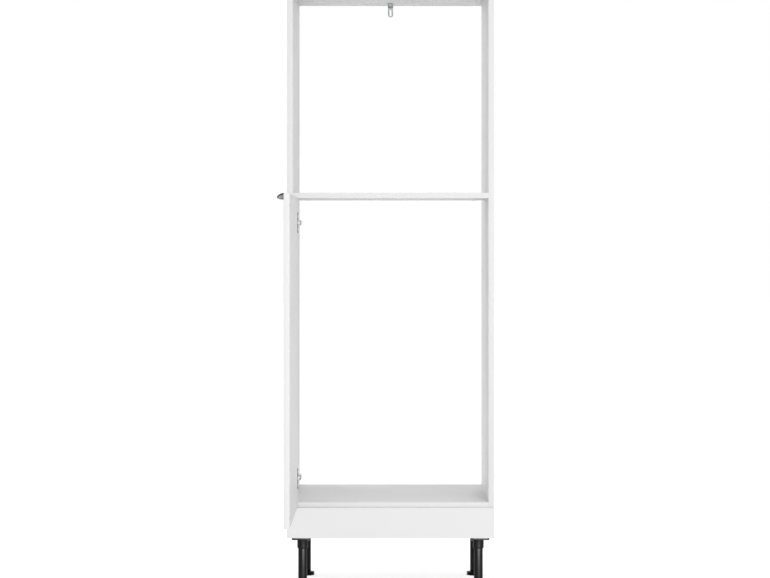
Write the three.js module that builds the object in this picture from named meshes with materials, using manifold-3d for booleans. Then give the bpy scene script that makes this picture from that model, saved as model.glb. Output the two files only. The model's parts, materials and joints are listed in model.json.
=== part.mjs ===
// A tall kitchen housing: a niche with a door for a built-in refrigerator, an open niche above it,
// a fixed fascia and four legs. Lengths are in millimetres; X runs to the right, Y to the rear, Z up.
// The door is drawn standing open at a right angle. Y is zero at the front edges of the side panels
// until the last lines, which move the whole unit over the middle of its footprint.

import * as THREE from 'three';
import { mergeVertices } from 'three/addons/utils/BufferGeometryUtils.js';
import Module from 'manifold-3d';

const wasm = await Module();
wasm.setup();

// Carcass
const unitWidth = 600;
const carcassDepth = 560;
const panelThickness = 16;
const legHeight = 160;
const plinthSpace = 72;
const fridgeNicheHeight = 882;
const upperNicheHeight = 596;
const shelfDepth = 320;

// Front
const frontThickness = 16;
const frontGap = 2;
const doorSideReveal = 1.5;
const doorTopLap = 1;
const doorFasciaGap = 3;
const fasciaHeight = 88;
const fasciaBottomReveal = 2;
const fasciaSideReveal = 0.5;

// Shared clearances
const fitGap = 0.15;
const runningGap = 0.3;
const overrun = 1;

// Cam and bolt connectors
const camRadius = 7.35;
const camHeight = 12;
const camEndDistance = 34;
const camSlotLength = 9;
const camSlotWidth = 1.4;
const camSlotDepth = 2;
const boltRadius = 3.3;
const boltThreadRadius = 2.5;
const boltThreadLength = 11;
const connectorEdgeDistance = 50;

// Legs
const legSideInset = 43;
const legFrontInset = 65;
const legRearInset = 145;
const socketOutwardReach = 31;
const socketInwardReach = 24;
const socketPlateDepth = 70;
const socketPlateThickness = 9;
const collarHeight = 27.5;
const collarWall = 2.5;
const collarTaper = 3;
const tubeRadius = 13;
const tubeWall = 2.4;
const tubeNutHeight = 12;
const stemRadius = 8;
const stemLength = 70;
const stemTip = 2;
const padRadius = 24;
const padHeight = 11;
const padRimHeight = 3;
const padLowerRimTop = 4.5;
const padGroove = 3;
const padChamfer = 1;
const padSoleRadius = 20;

// Door hinges: places in the door are measured from its hinge edge and its inner face,
// places at the arm from the inner face of the side panel and the front edge of the carcass
const upperHingeInset = 72;
const lowerHingeInset = 83;
const openDoorInset = 15.5;
const openDoorLead = 4;
const cupCentreAlong = 22.5;
const cupRadius = 17.4;
const cupDepth = 11.5;
const cupWall = 1.1;
const rimRadius = 18;
const rimThickness = 1;
const earAlong = 28;
const earWidth = 12;
const earReach = 30;
const earHoleRadius = 2.2;
const earHoleReach = 26;
const lugReach = 7.6;
const lugThickness = 1.2;
const lugEndAlong = 18;
const outerPinAlong = 11;
const outerPinDepth = 4;
const innerEyeAlong = 12;
const innerEyeDepth = 7.5;
const outerPinOut = 15;
const outerPinBack = 7.5;
const innerPinOut = 19.9;
const innerPinBack = 15;
const pinRadius = 1.2;
const pinReach = 7.9;
const linkEyeRadius = 2.1;
const outerLinkWidth = 2.4;
const outerLinkReach = 5.8;
const outerLinkThickness = 1.4;
const innerLinkWidth = 1.8;
const innerLinkReach = 3.6;
const outerLinkBow = 7;
const outerLinkShoulder = 1.5;
const outerLinkHeel = 6;
const innerLinkPass = 2.5;
const innerLinkBow = 6;
const innerLinkMouthLead = 9.6;
const innerLinkTurnBack = 2;
const innerLinkHeel = 7;
const armTopOut = 24;
const armThickness = 1.2;
const armReach = 7.5;
const armNoseBack = 3;
const armWebBack = 9;
const armEndBack = 62;
const armCheekOut = 10.5;
const plateBaseThickness = 2;
const plateBaseFront = 18;
const plateBaseEnd = 66;
const plateBaseReach = 9;
const plateWingFront = 28;
const plateWingEnd = 48;
const plateWingReach = 27;
const plateRiserFront = 22;
const plateRiserEnd = 60;
const plateRiserReach = 5.9;

// Handle on the outer face of the door, near its free top corner
const handleLength = 110;
const handleProud = 19;
const handleHeight = 16;
const handleTipDrop = 10;
const handleWall = 2;
const handleLipThickness = 2.6;
const handleFreeEdgeInset = 30;
const handleTopLead = 1.5;
const handleHoleSpacing = 64;
const handleBossRadius = 3.8;
const handleBossLength = 9;
const handleScrewDrop = 9.5;
const handleScrewRadius = 2;
const handleScrewTipGap = 1;
const handleScrewHeadRadius = 4.2;
const handleScrewHeadHeight = 2.4;

// Wall bracket under the rear edge of the top panel
const wallBracketWidth = 16.5;
const wallBracketDrop = 36;
const wallBracketReach = 86;
const wallBracketThickness = 2;
const wallSlotWidth = 6;
const wallSlotLength = 20;
const wallSlotEndDistance = 4;
const wallScrewFrontSetback = 72;
const wallScrewRearSetback = 30;
const wallScrewRadius = 2;
const wallScrewLength = 12;
const wallScrewHeadRadius = 4;
const wallScrewHeadHeight = 2.2;

// Angles behind the fascia
const fasciaAngleLeg = 38;
const fasciaAngleWidth = 20;
const fasciaAngleHoleRadius = 2.2;
const fasciaAngleSideDistance = 100;

// Number of flat sides of the round forms
const legSides = 16;
const cupSides = 20;
const camSides = 12;
const boltSides = 8;
const arcSteps = 6;

// Levels and places that follow from the sizes above
const carcassUnderside = legHeight;
const bottomPanelTop = carcassUnderside + panelThickness;
const floorUnderside = bottomPanelTop + plinthSpace;
const floorTop = floorUnderside + panelThickness;
const shelfUnderside = floorTop + fridgeNicheHeight;
const shelfTop = shelfUnderside + panelThickness;
const topUnderside = shelfTop + upperNicheHeight;
const carcassTop = topUnderside + panelThickness;
const halfWidth = unitWidth / 2;
const innerHalfWidth = halfWidth - panelThickness;
const fasciaBottom = carcassUnderside + fasciaBottomReveal;
const fasciaTop = fasciaBottom + fasciaHeight;
const doorBottom = fasciaTop + doorFasciaGap;
const doorTop = shelfUnderside + doorTopLap;
const doorWidth = unitWidth - 2 * doorSideReveal;
const upperHingeLevel = doorTop - upperHingeInset;
const lowerHingeLevel = doorBottom + lowerHingeInset;
const doorFaceX = -innerHalfWidth + openDoorInset;
const pinHoleRadius = pinRadius + runningGap;
const wallScrewSeat = topUnderside - wallBracketThickness;
const wallScrewTop = wallScrewSeat + wallScrewLength;

const white = new THREE.MeshStandardMaterial({ color: 0xf1f1ef, roughness: 0.45, metalness: 0 });
const black = new THREE.MeshStandardMaterial({ color: 0x1c1c1d, roughness: 0.5, metalness: 0 });
const nickel = new THREE.MeshStandardMaterial({ color: 0xb4b5b6, roughness: 0.35, metalness: 1 });
const zinc = new THREE.MeshStandardMaterial({ color: 0xc2c4c6, roughness: 0.45, metalness: 1 });
const graphite = new THREE.MeshStandardMaterial({ color: 0x4b4b4d, roughness: 0.4, metalness: 0.8 });

// Solids

function toSolid(geometry) {
  geometry.deleteAttribute('normal');
  geometry.deleteAttribute('uv');
  const merged = mergeVertices(geometry);
  return new wasm.Manifold(new wasm.Mesh({
    numProp: 3,
    vertProperties: new Float32Array(merged.attributes.position.array),
    triVerts: new Uint32Array(merged.index.array),
  }));
}

function toGeometry(solid) {
  const mesh = solid.getMesh();
  const geometry = new THREE.BufferGeometry();
  geometry.setAttribute('position', new THREE.BufferAttribute(mesh.vertProperties, mesh.numProp));
  geometry.setIndex(new THREE.BufferAttribute(mesh.triVerts, 1));
  geometry.computeVertexNormals();
  return geometry;
}

// The range between two values, the lower one first.
function span(first, second) {
  return [Math.min(first, second), Math.max(first, second)];
}

function block(xRange, yRange, zRange) {
  const [x0, x1] = xRange;
  const [y0, y1] = yRange;
  const [z0, z1] = zRange;
  const geometry = new THREE.BoxGeometry(x1 - x0, y1 - y0, z1 - z0);
  geometry.translate((x0 + x1) / 2, (y0 + y1) / 2, (z0 + z1) / 2);
  return toSolid(geometry);
}

// A round bar between two values along one axis; the other two places follow in X, Y, Z order.
function roundBar(axis, range, places, radius, sides) {
  const [start, end] = range;
  const [first, second] = places;
  const middle = (start + end) / 2;
  const geometry = new THREE.CylinderGeometry(radius, radius, end - start, sides);
  if (axis === 'x') {
    geometry.rotateZ(Math.PI / 2);
    geometry.translate(middle, first, second);
  } else if (axis === 'y') {
    geometry.translate(first, middle, second);
  } else {
    geometry.rotateX(Math.PI / 2);
    geometry.translate(first, second, middle);
  }
  return toSolid(geometry);
}

// A turned form about the Z axis from a profile of [radius, height] points.
function turned(profile, sides) {
  const points = profile.map(([radius, height]) => new THREE.Vector2(radius, height));
  const geometry = new THREE.LatheGeometry(points, sides);
  geometry.rotateX(Math.PI / 2);
  return toSolid(geometry);
}

// An outline of [x, y] points, raised between two levels.
function raised(outline, zRange) {
  const [z0, z1] = zRange;
  const shape = new THREE.Shape(outline.map(([x, y]) => new THREE.Vector2(x, y)));
  const geometry = new THREE.ExtrudeGeometry(shape, { depth: z1 - z0, bevelEnabled: false });
  geometry.translate(0, 0, z0);
  return toSolid(geometry);
}

// Flat strip metal that follows a bent path in plan, with round eyes at both ends.
function bentStrip(path, width, eyeRadius, zRange) {
  let strip = roundBar('z', zRange, path[0], eyeRadius, boltSides);
  strip = strip.add(roundBar('z', zRange, path[path.length - 1], eyeRadius, boltSides));
  for (let i = 1; i < path.length; i += 1) {
    const from = new THREE.Vector2(...path[i - 1]);
    const to = new THREE.Vector2(...path[i]);
    const side = to.clone().sub(from).normalize();
    side.set(-side.y, side.x).multiplyScalar(width / 2);
    const nearEdge = [from.clone().sub(side), to.clone().sub(side)];
    const corners = [...nearEdge, to.clone().add(side), from.clone().add(side)];
    strip = strip.add(raised(corners.map((corner) => [corner.x, corner.y]), zRange));
    if (i < path.length - 1) {
      strip = strip.add(roundBar('z', zRange, path[i], width / 2, boltSides));
    }
  }
  return strip;
}

function piece(name, solid, material) {
  const mesh = new THREE.Mesh(toGeometry(solid), material);
  mesh.name = name;
  return mesh;
}

// Panels and their connectors

// Each horizontal panel is held by four connectors: a cam in one of its faces and a bolt in the side panel.
function connectorPlaces(depth) {
  return [connectorEdgeDistance, depth - connectorEdgeDistance];
}

function connector(side, y, panelZ, faceUp, gap) {
  const faceZ = faceUp ? panelZ + panelThickness : panelZ;
  const inward = faceUp ? -1 : 1;
  const camX = side * (innerHalfWidth - camEndDistance);
  const boltEnd = side * innerHalfWidth;
  const threadEnd = side * (innerHalfWidth + boltThreadLength + gap);
  const boltZ = panelZ + panelThickness / 2;
  const camRange = span(faceZ - inward * gap, faceZ + inward * (camHeight + gap));
  const boltRange = span(camX, boltEnd);
  const threadRange = span(boltEnd - side * overrun, threadEnd);
  const cam = roundBar('z', camRange, [camX, y], camRadius + gap, camSides);
  const bolt = roundBar('x', boltRange, [y, boltZ], boltRadius + gap, boltSides);
  const thread = roundBar('x', threadRange, [y, boltZ], boltThreadRadius + gap, boltSides);
  return { cam, bolt, thread, camX, faceZ, inward };
}

function horizontalPanel(name, panelZ, depth, faceUp, pilotHoles) {
  let solid = block([-innerHalfWidth, innerHalfWidth], [0, depth], [panelZ, panelZ + panelThickness]);
  for (const pilotHole of pilotHoles) {
    solid = solid.subtract(pilotHole);
  }
  for (const side of [-1, 1]) {
    for (const y of connectorPlaces(depth)) {
      const pocket = connector(side, y, panelZ, faceUp, fitGap);
      solid = solid.subtract(pocket.cam).subtract(pocket.bolt);
    }
  }
  return piece(name, solid, white);
}

function connectorPiece(name, side, y, panelZ, faceUp) {
  const { cam, bolt, thread, camX, faceZ, inward } = connector(side, y, panelZ, faceUp, 0);
  const slotRange = span(faceZ - inward * overrun, faceZ + inward * camSlotDepth);
  const across = block(
    [camX - camSlotLength / 2, camX + camSlotLength / 2],
    [y - camSlotWidth / 2, y + camSlotWidth / 2],
    slotRange,
  );
  const along = block(
    [camX - camSlotWidth / 2, camX + camSlotWidth / 2],
    [y - camSlotLength / 2, y + camSlotLength / 2],
    slotRange,
  );
  return piece(name, cam.add(bolt).add(thread).subtract(across).subtract(along), zinc);
}

const wallScrews = [
  { name: 'wall_bracket_screw_front', y: carcassDepth - wallScrewFrontSetback },
  { name: 'wall_bracket_screw_rear', y: carcassDepth - wallScrewRearSetback },
];
const wallScrewPilotZ = [topUnderside - overrun, wallScrewTop + fitGap];
const wallScrewPilots = wallScrews.map((screw) => (
  roundBar('z', wallScrewPilotZ, [0, screw.y], wallScrewRadius + fitGap, boltSides)
));
const levels = [
  { name: 'top_panel', z: topUnderside, depth: carcassDepth, faceUp: true, pilotHoles: wallScrewPilots },
  { name: 'middle_shelf', z: shelfUnderside, depth: shelfDepth, faceUp: false, pilotHoles: [] },
  { name: 'fridge_floor', z: floorUnderside, depth: carcassDepth, faceUp: false, pilotHoles: [] },
  { name: 'bottom_panel', z: carcassUnderside, depth: carcassDepth, faceUp: true, pilotHoles: [] },
];

function sidePanel(name, side) {
  const xRange = span(side * innerHalfWidth, side * halfWidth);
  let solid = block(xRange, [0, carcassDepth], [carcassUnderside, carcassTop]);
  for (const level of levels) {
    for (const y of connectorPlaces(level.depth)) {
      solid = solid.subtract(connector(side, y, level.z, level.faceUp, fitGap).thread);
    }
  }
  return piece(name, solid, white);
}

const unit = new THREE.Group();
unit.add(sidePanel('side_panel_left', -1), sidePanel('side_panel_right', 1));
for (const level of levels) {
  unit.add(horizontalPanel(level.name, level.z, level.depth, level.faceUp, level.pilotHoles));
  for (const [side, sideName] of [[-1, 'left'], [1, 'right']]) {
    connectorPlaces(level.depth).forEach((y, row) => {
      const rowName = row === 0 ? 'front' : 'rear';
      const name = `connector_${level.name}_${sideName}_${rowName}`;
      unit.add(connectorPiece(name, side, y, level.z, level.faceUp));
    });
  }
}

// Fixed fascia and the two angles that hold it to the bottom panel

const fasciaHalfWidth = halfWidth - fasciaSideReveal;
unit.add(piece('front_fascia', block(
  [-fasciaHalfWidth, fasciaHalfWidth],
  [-frontGap - frontThickness, -frontGap],
  [fasciaBottom, fasciaTop],
), white));

function fasciaAngle(name, side) {
  const x = side * (innerHalfWidth - fasciaAngleSideDistance);
  const xRange = [x - fasciaAngleWidth / 2, x + fasciaAngleWidth / 2];
  const upright = block(xRange, [-frontGap, 0], [bottomPanelTop, bottomPanelTop + fasciaAngleLeg]);
  const lying = block(xRange, [-frontGap, fasciaAngleLeg], [bottomPanelTop, bottomPanelTop + frontGap]);
  const holeDistance = frontGap + (fasciaAngleLeg - frontGap) / 2;
  const uprightHole = roundBar(
    'y', [-frontGap - overrun, overrun], [x, bottomPanelTop + holeDistance], fasciaAngleHoleRadius, boltSides,
  );
  const lyingHole = roundBar(
    'z', [bottomPanelTop - overrun, bottomPanelTop + frontGap + overrun], [x, holeDistance],
    fasciaAngleHoleRadius, boltSides,
  );
  return piece(name, upright.add(lying).subtract(uprightHole).subtract(lyingHole), zinc);
}

unit.add(fasciaAngle('fascia_angle_left', -1), fasciaAngle('fascia_angle_right', 1));

// Legs: a socket under the bottom panel, a tube pushed into it, and a foot that screws in the tube

function leg(name, side, y) {
  const x = side * (halfWidth - legSideInset);
  const plateX = span(x + side * socketOutwardReach, x - side * socketInwardReach);
  const plateBottom = legHeight - socketPlateThickness;
  const collarInner = tubeRadius + runningGap;
  const collarOuter = collarInner + collarWall;
  const collarBottom = plateBottom - collarHeight;
  const collar = turned([
    [collarInner, plateBottom + overrun],
    [collarInner, collarBottom],
    [collarOuter - collarWall / 2, collarBottom],
    [collarOuter, collarBottom + collarTaper],
    [collarOuter, plateBottom + overrun],
    [collarInner, plateBottom + overrun],
  ], legSides).translate([x, y, 0]);
  const plate = block(plateX, [y - socketPlateDepth / 2, y + socketPlateDepth / 2], [plateBottom, legHeight]);

  const tubeInner = tubeRadius - tubeWall;
  const nutInner = stemRadius + runningGap;
  const tubeBottom = padHeight + runningGap;
  const tube = turned([
    [nutInner, tubeBottom],
    [tubeRadius, tubeBottom],
    [tubeRadius, plateBottom],
    [tubeInner, plateBottom],
    [tubeInner, tubeBottom + tubeNutHeight],
    [nutInner, tubeBottom + tubeNutHeight],
    [nutInner, tubeBottom],
  ], legSides).translate([x, y, 0]);

  const foot = turned([
    [0, 0],
    [padSoleRadius, 0],
    [padRadius, padLowerRimTop - padRimHeight],
    [padRadius, padLowerRimTop],
    [padRadius - padGroove, padHeight / 2],
    [padRadius, padHeight - padRimHeight],
    [padRadius, padHeight - padChamfer],
    [padRadius - padChamfer, padHeight],
    [stemRadius, padHeight],
    [stemRadius, padHeight + stemLength - stemTip],
    [stemRadius - stemTip, padHeight + stemLength],
    [0, padHeight + stemLength],
  ], legSides).translate([x, y, 0]);

  return [
    piece(`${name}_socket`, collar.add(plate), black),
    piece(`${name}_tube`, tube, black),
    piece(`${name}_foot`, foot, black),
  ];
}

for (const [side, sideName] of [[-1, 'left'], [1, 'right']]) {
  unit.add(...leg(`leg_front_${sideName}`, side, legFrontInset));
  unit.add(...leg(`leg_rear_${sideName}`, side, carcassDepth - legRearInset));
}

// Wall bracket and its screws

const wallBracketRear = carcassDepth;
const wallBracketX = [-wallBracketWidth / 2, wallBracketWidth / 2];
const bracketPlateY = [wallBracketRear - wallBracketThickness, wallBracketRear];
const roundEndLevel = topUnderside - wallBracketDrop + wallBracketWidth / 2;
const hangingLeg = block(wallBracketX, bracketPlateY, [roundEndLevel, topUnderside])
  .add(roundBar('y', bracketPlateY, [0, roundEndLevel], wallBracketWidth / 2, legSides));
const lyingLeg = block(
  wallBracketX,
  [wallBracketRear - wallBracketReach, wallBracketRear],
  [topUnderside - wallBracketThickness, topUnderside],
);
const slotCutY = [bracketPlateY[0] - overrun, bracketPlateY[1] + overrun];
const slotRadius = wallSlotWidth / 2;
const slotBottom = topUnderside - wallBracketDrop + wallSlotEndDistance + slotRadius;
const slotTop = slotBottom + wallSlotLength - wallSlotWidth;
const wallSlot = block([-slotRadius, slotRadius], slotCutY, [slotBottom, slotTop])
  .add(roundBar('y', slotCutY, [0, slotBottom], slotRadius, boltSides))
  .add(roundBar('y', slotCutY, [0, slotTop], slotRadius, boltSides));
let wallBracket = hangingLeg.add(lyingLeg).subtract(wallSlot);
const wallScrewHoleZ = [wallScrewSeat - overrun, topUnderside + overrun];
for (const screw of wallScrews) {
  const hole = roundBar('z', wallScrewHoleZ, [0, screw.y], wallScrewRadius + fitGap, boltSides);
  wallBracket = wallBracket.subtract(hole);
}
unit.add(piece('wall_bracket', wallBracket, zinc));
const wallScrewProfile = [
  [0, wallScrewSeat - wallScrewHeadHeight],
  [wallScrewHeadRadius / 2, wallScrewSeat - wallScrewHeadHeight],
  [wallScrewHeadRadius, wallScrewSeat - wallScrewHeadHeight / 2],
  [wallScrewHeadRadius, wallScrewSeat],
  [wallScrewRadius, wallScrewSeat],
  [wallScrewRadius, wallScrewTop - wallScrewRadius],
  [0, wallScrewTop],
];
for (const screw of wallScrews) {
  unit.add(piece(screw.name, turned(wallScrewProfile, boltSides).translate([0, screw.y, 0]), zinc));
}

// The door's own frame: X runs from the hinge edge along the width, Y out of the inner face.
// Its group turns it to stand open.

const doorGroup = new THREE.Group();
doorGroup.position.set(doorFaceX, -openDoorLead, 0);
doorGroup.rotation.z = -Math.PI / 2;
unit.add(doorGroup);

const hinges = [
  { name: 'hinge_upper', z: upperHingeLevel },
  { name: 'hinge_lower', z: lowerHingeLevel },
];
const handleRight = doorWidth - handleFreeEdgeInset;
const handleLeft = handleRight - handleLength;
const handleTop = doorTop + handleTopLead;
const handleMiddle = (handleLeft + handleRight) / 2;
const handleScrewZ = handleTop - handleScrewDrop;
const handleScrews = [
  { name: 'handle_screw_inner', x: handleMiddle - handleHoleSpacing / 2 },
  { name: 'handle_screw_outer', x: handleMiddle + handleHoleSpacing / 2 },
];
const doorOuterY = -frontThickness;

let doorSolid = block([0, doorWidth], [doorOuterY, 0], [doorBottom, doorTop]);
for (const hinge of hinges) {
  doorSolid = doorSolid.subtract(roundBar(
    'y', [-cupDepth - fitGap, overrun], [cupCentreAlong, hinge.z], cupRadius + fitGap, cupSides,
  ));
}
for (const screw of handleScrews) {
  doorSolid = doorSolid.subtract(roundBar(
    'y', [doorOuterY - overrun, overrun], [screw.x, handleScrewZ], handleScrewRadius + fitGap, boltSides,
  ));
}
doorGroup.add(piece('door', doorSolid, white));

// Handle: a shell with closed ends that opens downwards, on a back plate with two bosses.
// An outline point is [distance from the door, level].

function handleArc(proud, drop, startProud, startLevel) {
  const points = [];
  for (let i = 0; i <= arcSteps; i += 1) {
    const turn = (i / arcSteps) * (Math.PI / 2);
    points.push([startProud + proud * Math.sin(turn), startLevel - drop * (1 - Math.cos(turn))]);
  }
  return points;
}

// Raises an outline along the door's width.
function raisedAlongDoor(outline, xRange) {
  const [x0, x1] = xRange;
  const shape = new THREE.Shape(outline.map(([proud, z]) => new THREE.Vector2(proud, z)));
  const geometry = new THREE.ExtrudeGeometry(shape, { depth: x1 - x0, bevelEnabled: false });
  geometry.rotateX(Math.PI / 2);
  geometry.rotateZ(-Math.PI / 2);
  geometry.translate(x1, doorOuterY, 0);
  return toSolid(geometry);
}

const handleOutline = [
  ...handleArc(handleProud, handleTipDrop, 0, handleTop),
  [handleProud - handleLipThickness, handleTop - handleTipDrop - handleWall],
  [0, handleTop - handleHeight],
];
const hollowProud = handleProud - handleWall - handleLipThickness;
const hollowOutline = [
  ...handleArc(hollowProud, handleTipDrop - handleWall, handleWall, handleTop - handleWall),
  [handleProud - handleLipThickness, handleTop - handleHeight - overrun],
  [handleWall, handleTop - handleHeight - overrun],
];
let handleSolid = raisedAlongDoor(handleOutline, [handleLeft, handleRight])
  .subtract(raisedAlongDoor(hollowOutline, [handleLeft + handleWall, handleRight - handleWall]));
const bossTipY = doorOuterY - handleBossLength;
for (const screw of handleScrews) {
  handleSolid = handleSolid.add(roundBar(
    'y', [bossTipY, doorOuterY], [screw.x, handleScrewZ], handleBossRadius, boltSides,
  ));
}
const screwTipY = bossTipY + handleScrewTipGap + handleScrewRadius;
const handleHoleY = [screwTipY - fitGap, doorOuterY + overrun];
for (const screw of handleScrews) {
  handleSolid = handleSolid.subtract(roundBar(
    'y', handleHoleY, [screw.x, handleScrewZ], handleScrewRadius + fitGap, boltSides,
  ));
}
doorGroup.add(piece('door_handle', handleSolid, graphite));

for (const screw of handleScrews) {
  const places = [screw.x, handleScrewZ];
  const shank = roundBar('y', [screwTipY, overrun], places, handleScrewRadius, boltSides);
  const head = roundBar('y', [0, handleScrewHeadHeight], places, handleScrewHeadRadius, boltSides);
  doorGroup.add(piece(screw.name, shank.add(head), zinc));
}

// Hinge cups, sunk into the inner face of the door

function hingeCup(hinge) {
  const bowlProfile = [
    [0, -cupDepth],
    [cupRadius - cupWall, -cupDepth],
    [cupRadius, -cupDepth + cupWall],
    [cupRadius, 0],
    [rimRadius, 0],
    [rimRadius, rimThickness],
    [cupRadius - cupWall, rimThickness],
    [cupRadius - cupWall, -cupDepth + cupWall],
    [0, -cupDepth + cupWall],
  ];
  const points = bowlProfile.map(([radius, y]) => new THREE.Vector2(radius, y));
  const bowlGeometry = new THREE.LatheGeometry(points, cupSides);
  bowlGeometry.translate(cupCentreAlong, 0, hinge.z);
  const bowl = toSolid(bowlGeometry);
  const bowlSpace = roundBar(
    'y', [-overrun, rimThickness + overrun], [cupCentreAlong, hinge.z], cupRadius - cupWall, cupSides,
  );
  const flangeX = [earAlong - earWidth / 2, earAlong + earWidth / 2];
  const flangeZ = [hinge.z - earReach, hinge.z + earReach];
  let flange = block(flangeX, [0, rimThickness], flangeZ).subtract(bowlSpace);
  const bowlFill = roundBar(
    'y', [-cupDepth + cupWall / 2, 0], [cupCentreAlong, hinge.z], cupRadius - cupWall / 2, cupSides,
  );
  let cup = bowl;
  for (const side of [-1, 1]) {
    const holePlaces = [earAlong, hinge.z + side * earHoleReach];
    flange = flange.subtract(roundBar(
      'y', [-overrun, rimThickness + overrun], holePlaces, earHoleRadius, boltSides,
    ));
    const lugZ = span(hinge.z + side * lugReach, hinge.z + side * (lugReach - lugThickness));
    const lug = block([0, lugEndAlong], [-cupDepth, 0], lugZ).intersect(bowlFill);
    cup = cup.add(lug);
  }
  const pinHole = roundBar(
    'z', [hinge.z - lugReach - overrun, hinge.z + lugReach + overrun], [outerPinAlong, -outerPinDepth],
    pinHoleRadius, boltSides,
  );
  return piece(`${hinge.name}_cup`, cup.add(flange).subtract(pinHole), nickel);
}

// Hinge links, arms and plates stay in the unit's frame, drawn for the open door

const sideFaceX = -innerHalfWidth;
const outerCupPin = [doorFaceX - outerPinDepth, -openDoorLead - outerPinAlong];
const outerArmPin = [sideFaceX + outerPinOut, outerPinBack];
const innerCupEye = [doorFaceX - innerEyeDepth, -openDoorLead - innerEyeAlong];
const innerArmPin = [sideFaceX + innerPinOut, innerPinBack];

// The outer link bows away from the straight line between its pins.
function outerLinkPath() {
  const start = new THREE.Vector2(...outerCupPin);
  const end = new THREE.Vector2(...outerArmPin);
  const along = end.clone().sub(start).normalize();
  const out = new THREE.Vector2(along.y, -along.x).multiplyScalar(outerLinkBow);
  const shoulder = start.clone().addScaledVector(along, outerLinkShoulder).add(out);
  const heel = end.clone().addScaledVector(along, -outerLinkHeel).add(out);
  return [outerCupPin, [shoulder.x, shoulder.y], [heel.x, heel.y], outerArmPin];
}

// The inner link leaves the cup near its rim and passes round the edge of the door.
function innerLinkPath() {
  const mouthY = -openDoorLead - innerLinkMouthLead;
  const bowX = doorFaceX + innerLinkBow;
  return [
    innerCupEye,
    [doorFaceX + innerLinkPass, mouthY],
    [bowX, -innerLinkTurnBack],
    [bowX, innerPinBack - innerLinkHeel],
    innerArmPin,
  ];
}

function hingeLinks(hinge) {
  const pinRange = [hinge.z - pinReach, hinge.z + pinReach];
  let outerLink = roundBar('z', pinRange, outerArmPin, pinRadius, boltSides);
  for (const side of [-1, 1]) {
    const strapInnerZ = hinge.z + side * (outerLinkReach - outerLinkThickness);
    const strapZ = span(strapInnerZ, hinge.z + side * outerLinkReach);
    const stubZ = span(strapInnerZ, hinge.z + side * pinReach);
    outerLink = outerLink.add(bentStrip(outerLinkPath(), outerLinkWidth, linkEyeRadius, strapZ))
      .add(roundBar('z', stubZ, outerCupPin, pinRadius, boltSides));
  }
  const innerZ = [hinge.z - innerLinkReach, hinge.z + innerLinkReach];
  const innerLink = bentStrip(innerLinkPath(), innerLinkWidth, linkEyeRadius, innerZ)
    .add(roundBar('z', pinRange, innerArmPin, pinRadius, boltSides));
  return [
    piece(`${hinge.name}_outer_link`, outerLink, nickel),
    piece(`${hinge.name}_inner_link`, innerLink, nickel),
  ];
}

function hingeArm(hinge) {
  const topX = sideFaceX + armTopOut;
  const cheekX = [sideFaceX + armCheekOut, topX + armThickness];
  const full = [hinge.z - armReach, hinge.z + armReach];
  const inside = [full[0] + armThickness, full[1] - armThickness];
  const body = block(cheekX, [armNoseBack, armEndBack], full);
  const channel = block([cheekX[0] - overrun, topX], [armNoseBack - overrun, armEndBack + overrun], inside);
  const noseX = [cheekX[0] - overrun, cheekX[1] + overrun];
  const openNose = block(noseX, [armNoseBack - overrun, armWebBack], inside);
  let arm = body.subtract(channel).subtract(openNose);
  for (const pin of [outerArmPin, innerArmPin]) {
    arm = arm.subtract(roundBar('z', [full[0] - overrun, full[1] + overrun], pin, pinHoleRadius, boltSides));
  }
  return piece(`${hinge.name}_arm`, arm, nickel);
}

function hingePlate(hinge) {
  const baseX = [sideFaceX, sideFaceX + plateBaseThickness];
  const reachZ = (reach) => [hinge.z - reach, hinge.z + reach];
  const riserX = [sideFaceX, sideFaceX + armTopOut - runningGap];
  const plate = block(baseX, [plateBaseFront, plateBaseEnd], reachZ(plateBaseReach))
    .add(block(baseX, [plateWingFront, plateWingEnd], reachZ(plateWingReach)))
    .add(block(riserX, [plateRiserFront, plateRiserEnd], reachZ(plateRiserReach)));
  return piece(`${hinge.name}_mounting_plate`, plate, nickel);
}

for (const hinge of hinges) {
  doorGroup.add(hingeCup(hinge));
  unit.add(...hingeLinks(hinge), hingeArm(hinge), hingePlate(hinge));
}

// The origin lies on the floor, under the middle of the unit with its open door

const openDoorFrontY = -openDoorLead - doorWidth;
unit.position.set(0, -(openDoorFrontY + carcassDepth) / 2, 0);

export default unit;
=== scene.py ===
# A tall kitchen housing for a built-in refrigerator: white boards on four black legs, with a door
# that stands open. Lengths are in metres; X runs to the right, Y to the rear, Z up.
import json
import math
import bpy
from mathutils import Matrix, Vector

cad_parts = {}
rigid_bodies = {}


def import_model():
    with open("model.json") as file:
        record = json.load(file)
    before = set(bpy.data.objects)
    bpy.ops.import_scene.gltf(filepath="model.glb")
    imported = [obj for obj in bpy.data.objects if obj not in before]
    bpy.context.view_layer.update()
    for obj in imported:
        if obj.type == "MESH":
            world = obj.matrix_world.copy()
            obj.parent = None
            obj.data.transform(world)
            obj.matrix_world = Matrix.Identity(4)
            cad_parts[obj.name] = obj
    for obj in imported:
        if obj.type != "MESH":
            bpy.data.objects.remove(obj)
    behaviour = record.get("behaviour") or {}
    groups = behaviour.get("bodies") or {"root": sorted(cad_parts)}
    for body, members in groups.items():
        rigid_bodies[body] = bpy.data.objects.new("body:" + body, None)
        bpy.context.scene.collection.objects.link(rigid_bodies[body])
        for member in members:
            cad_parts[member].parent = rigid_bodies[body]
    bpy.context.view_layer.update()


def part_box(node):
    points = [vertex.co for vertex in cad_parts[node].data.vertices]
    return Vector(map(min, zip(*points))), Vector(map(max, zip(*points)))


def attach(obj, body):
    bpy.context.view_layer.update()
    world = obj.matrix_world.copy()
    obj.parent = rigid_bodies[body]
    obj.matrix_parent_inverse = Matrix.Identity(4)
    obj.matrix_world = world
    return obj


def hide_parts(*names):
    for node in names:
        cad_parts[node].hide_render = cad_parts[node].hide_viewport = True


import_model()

from types import SimpleNamespace

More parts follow.
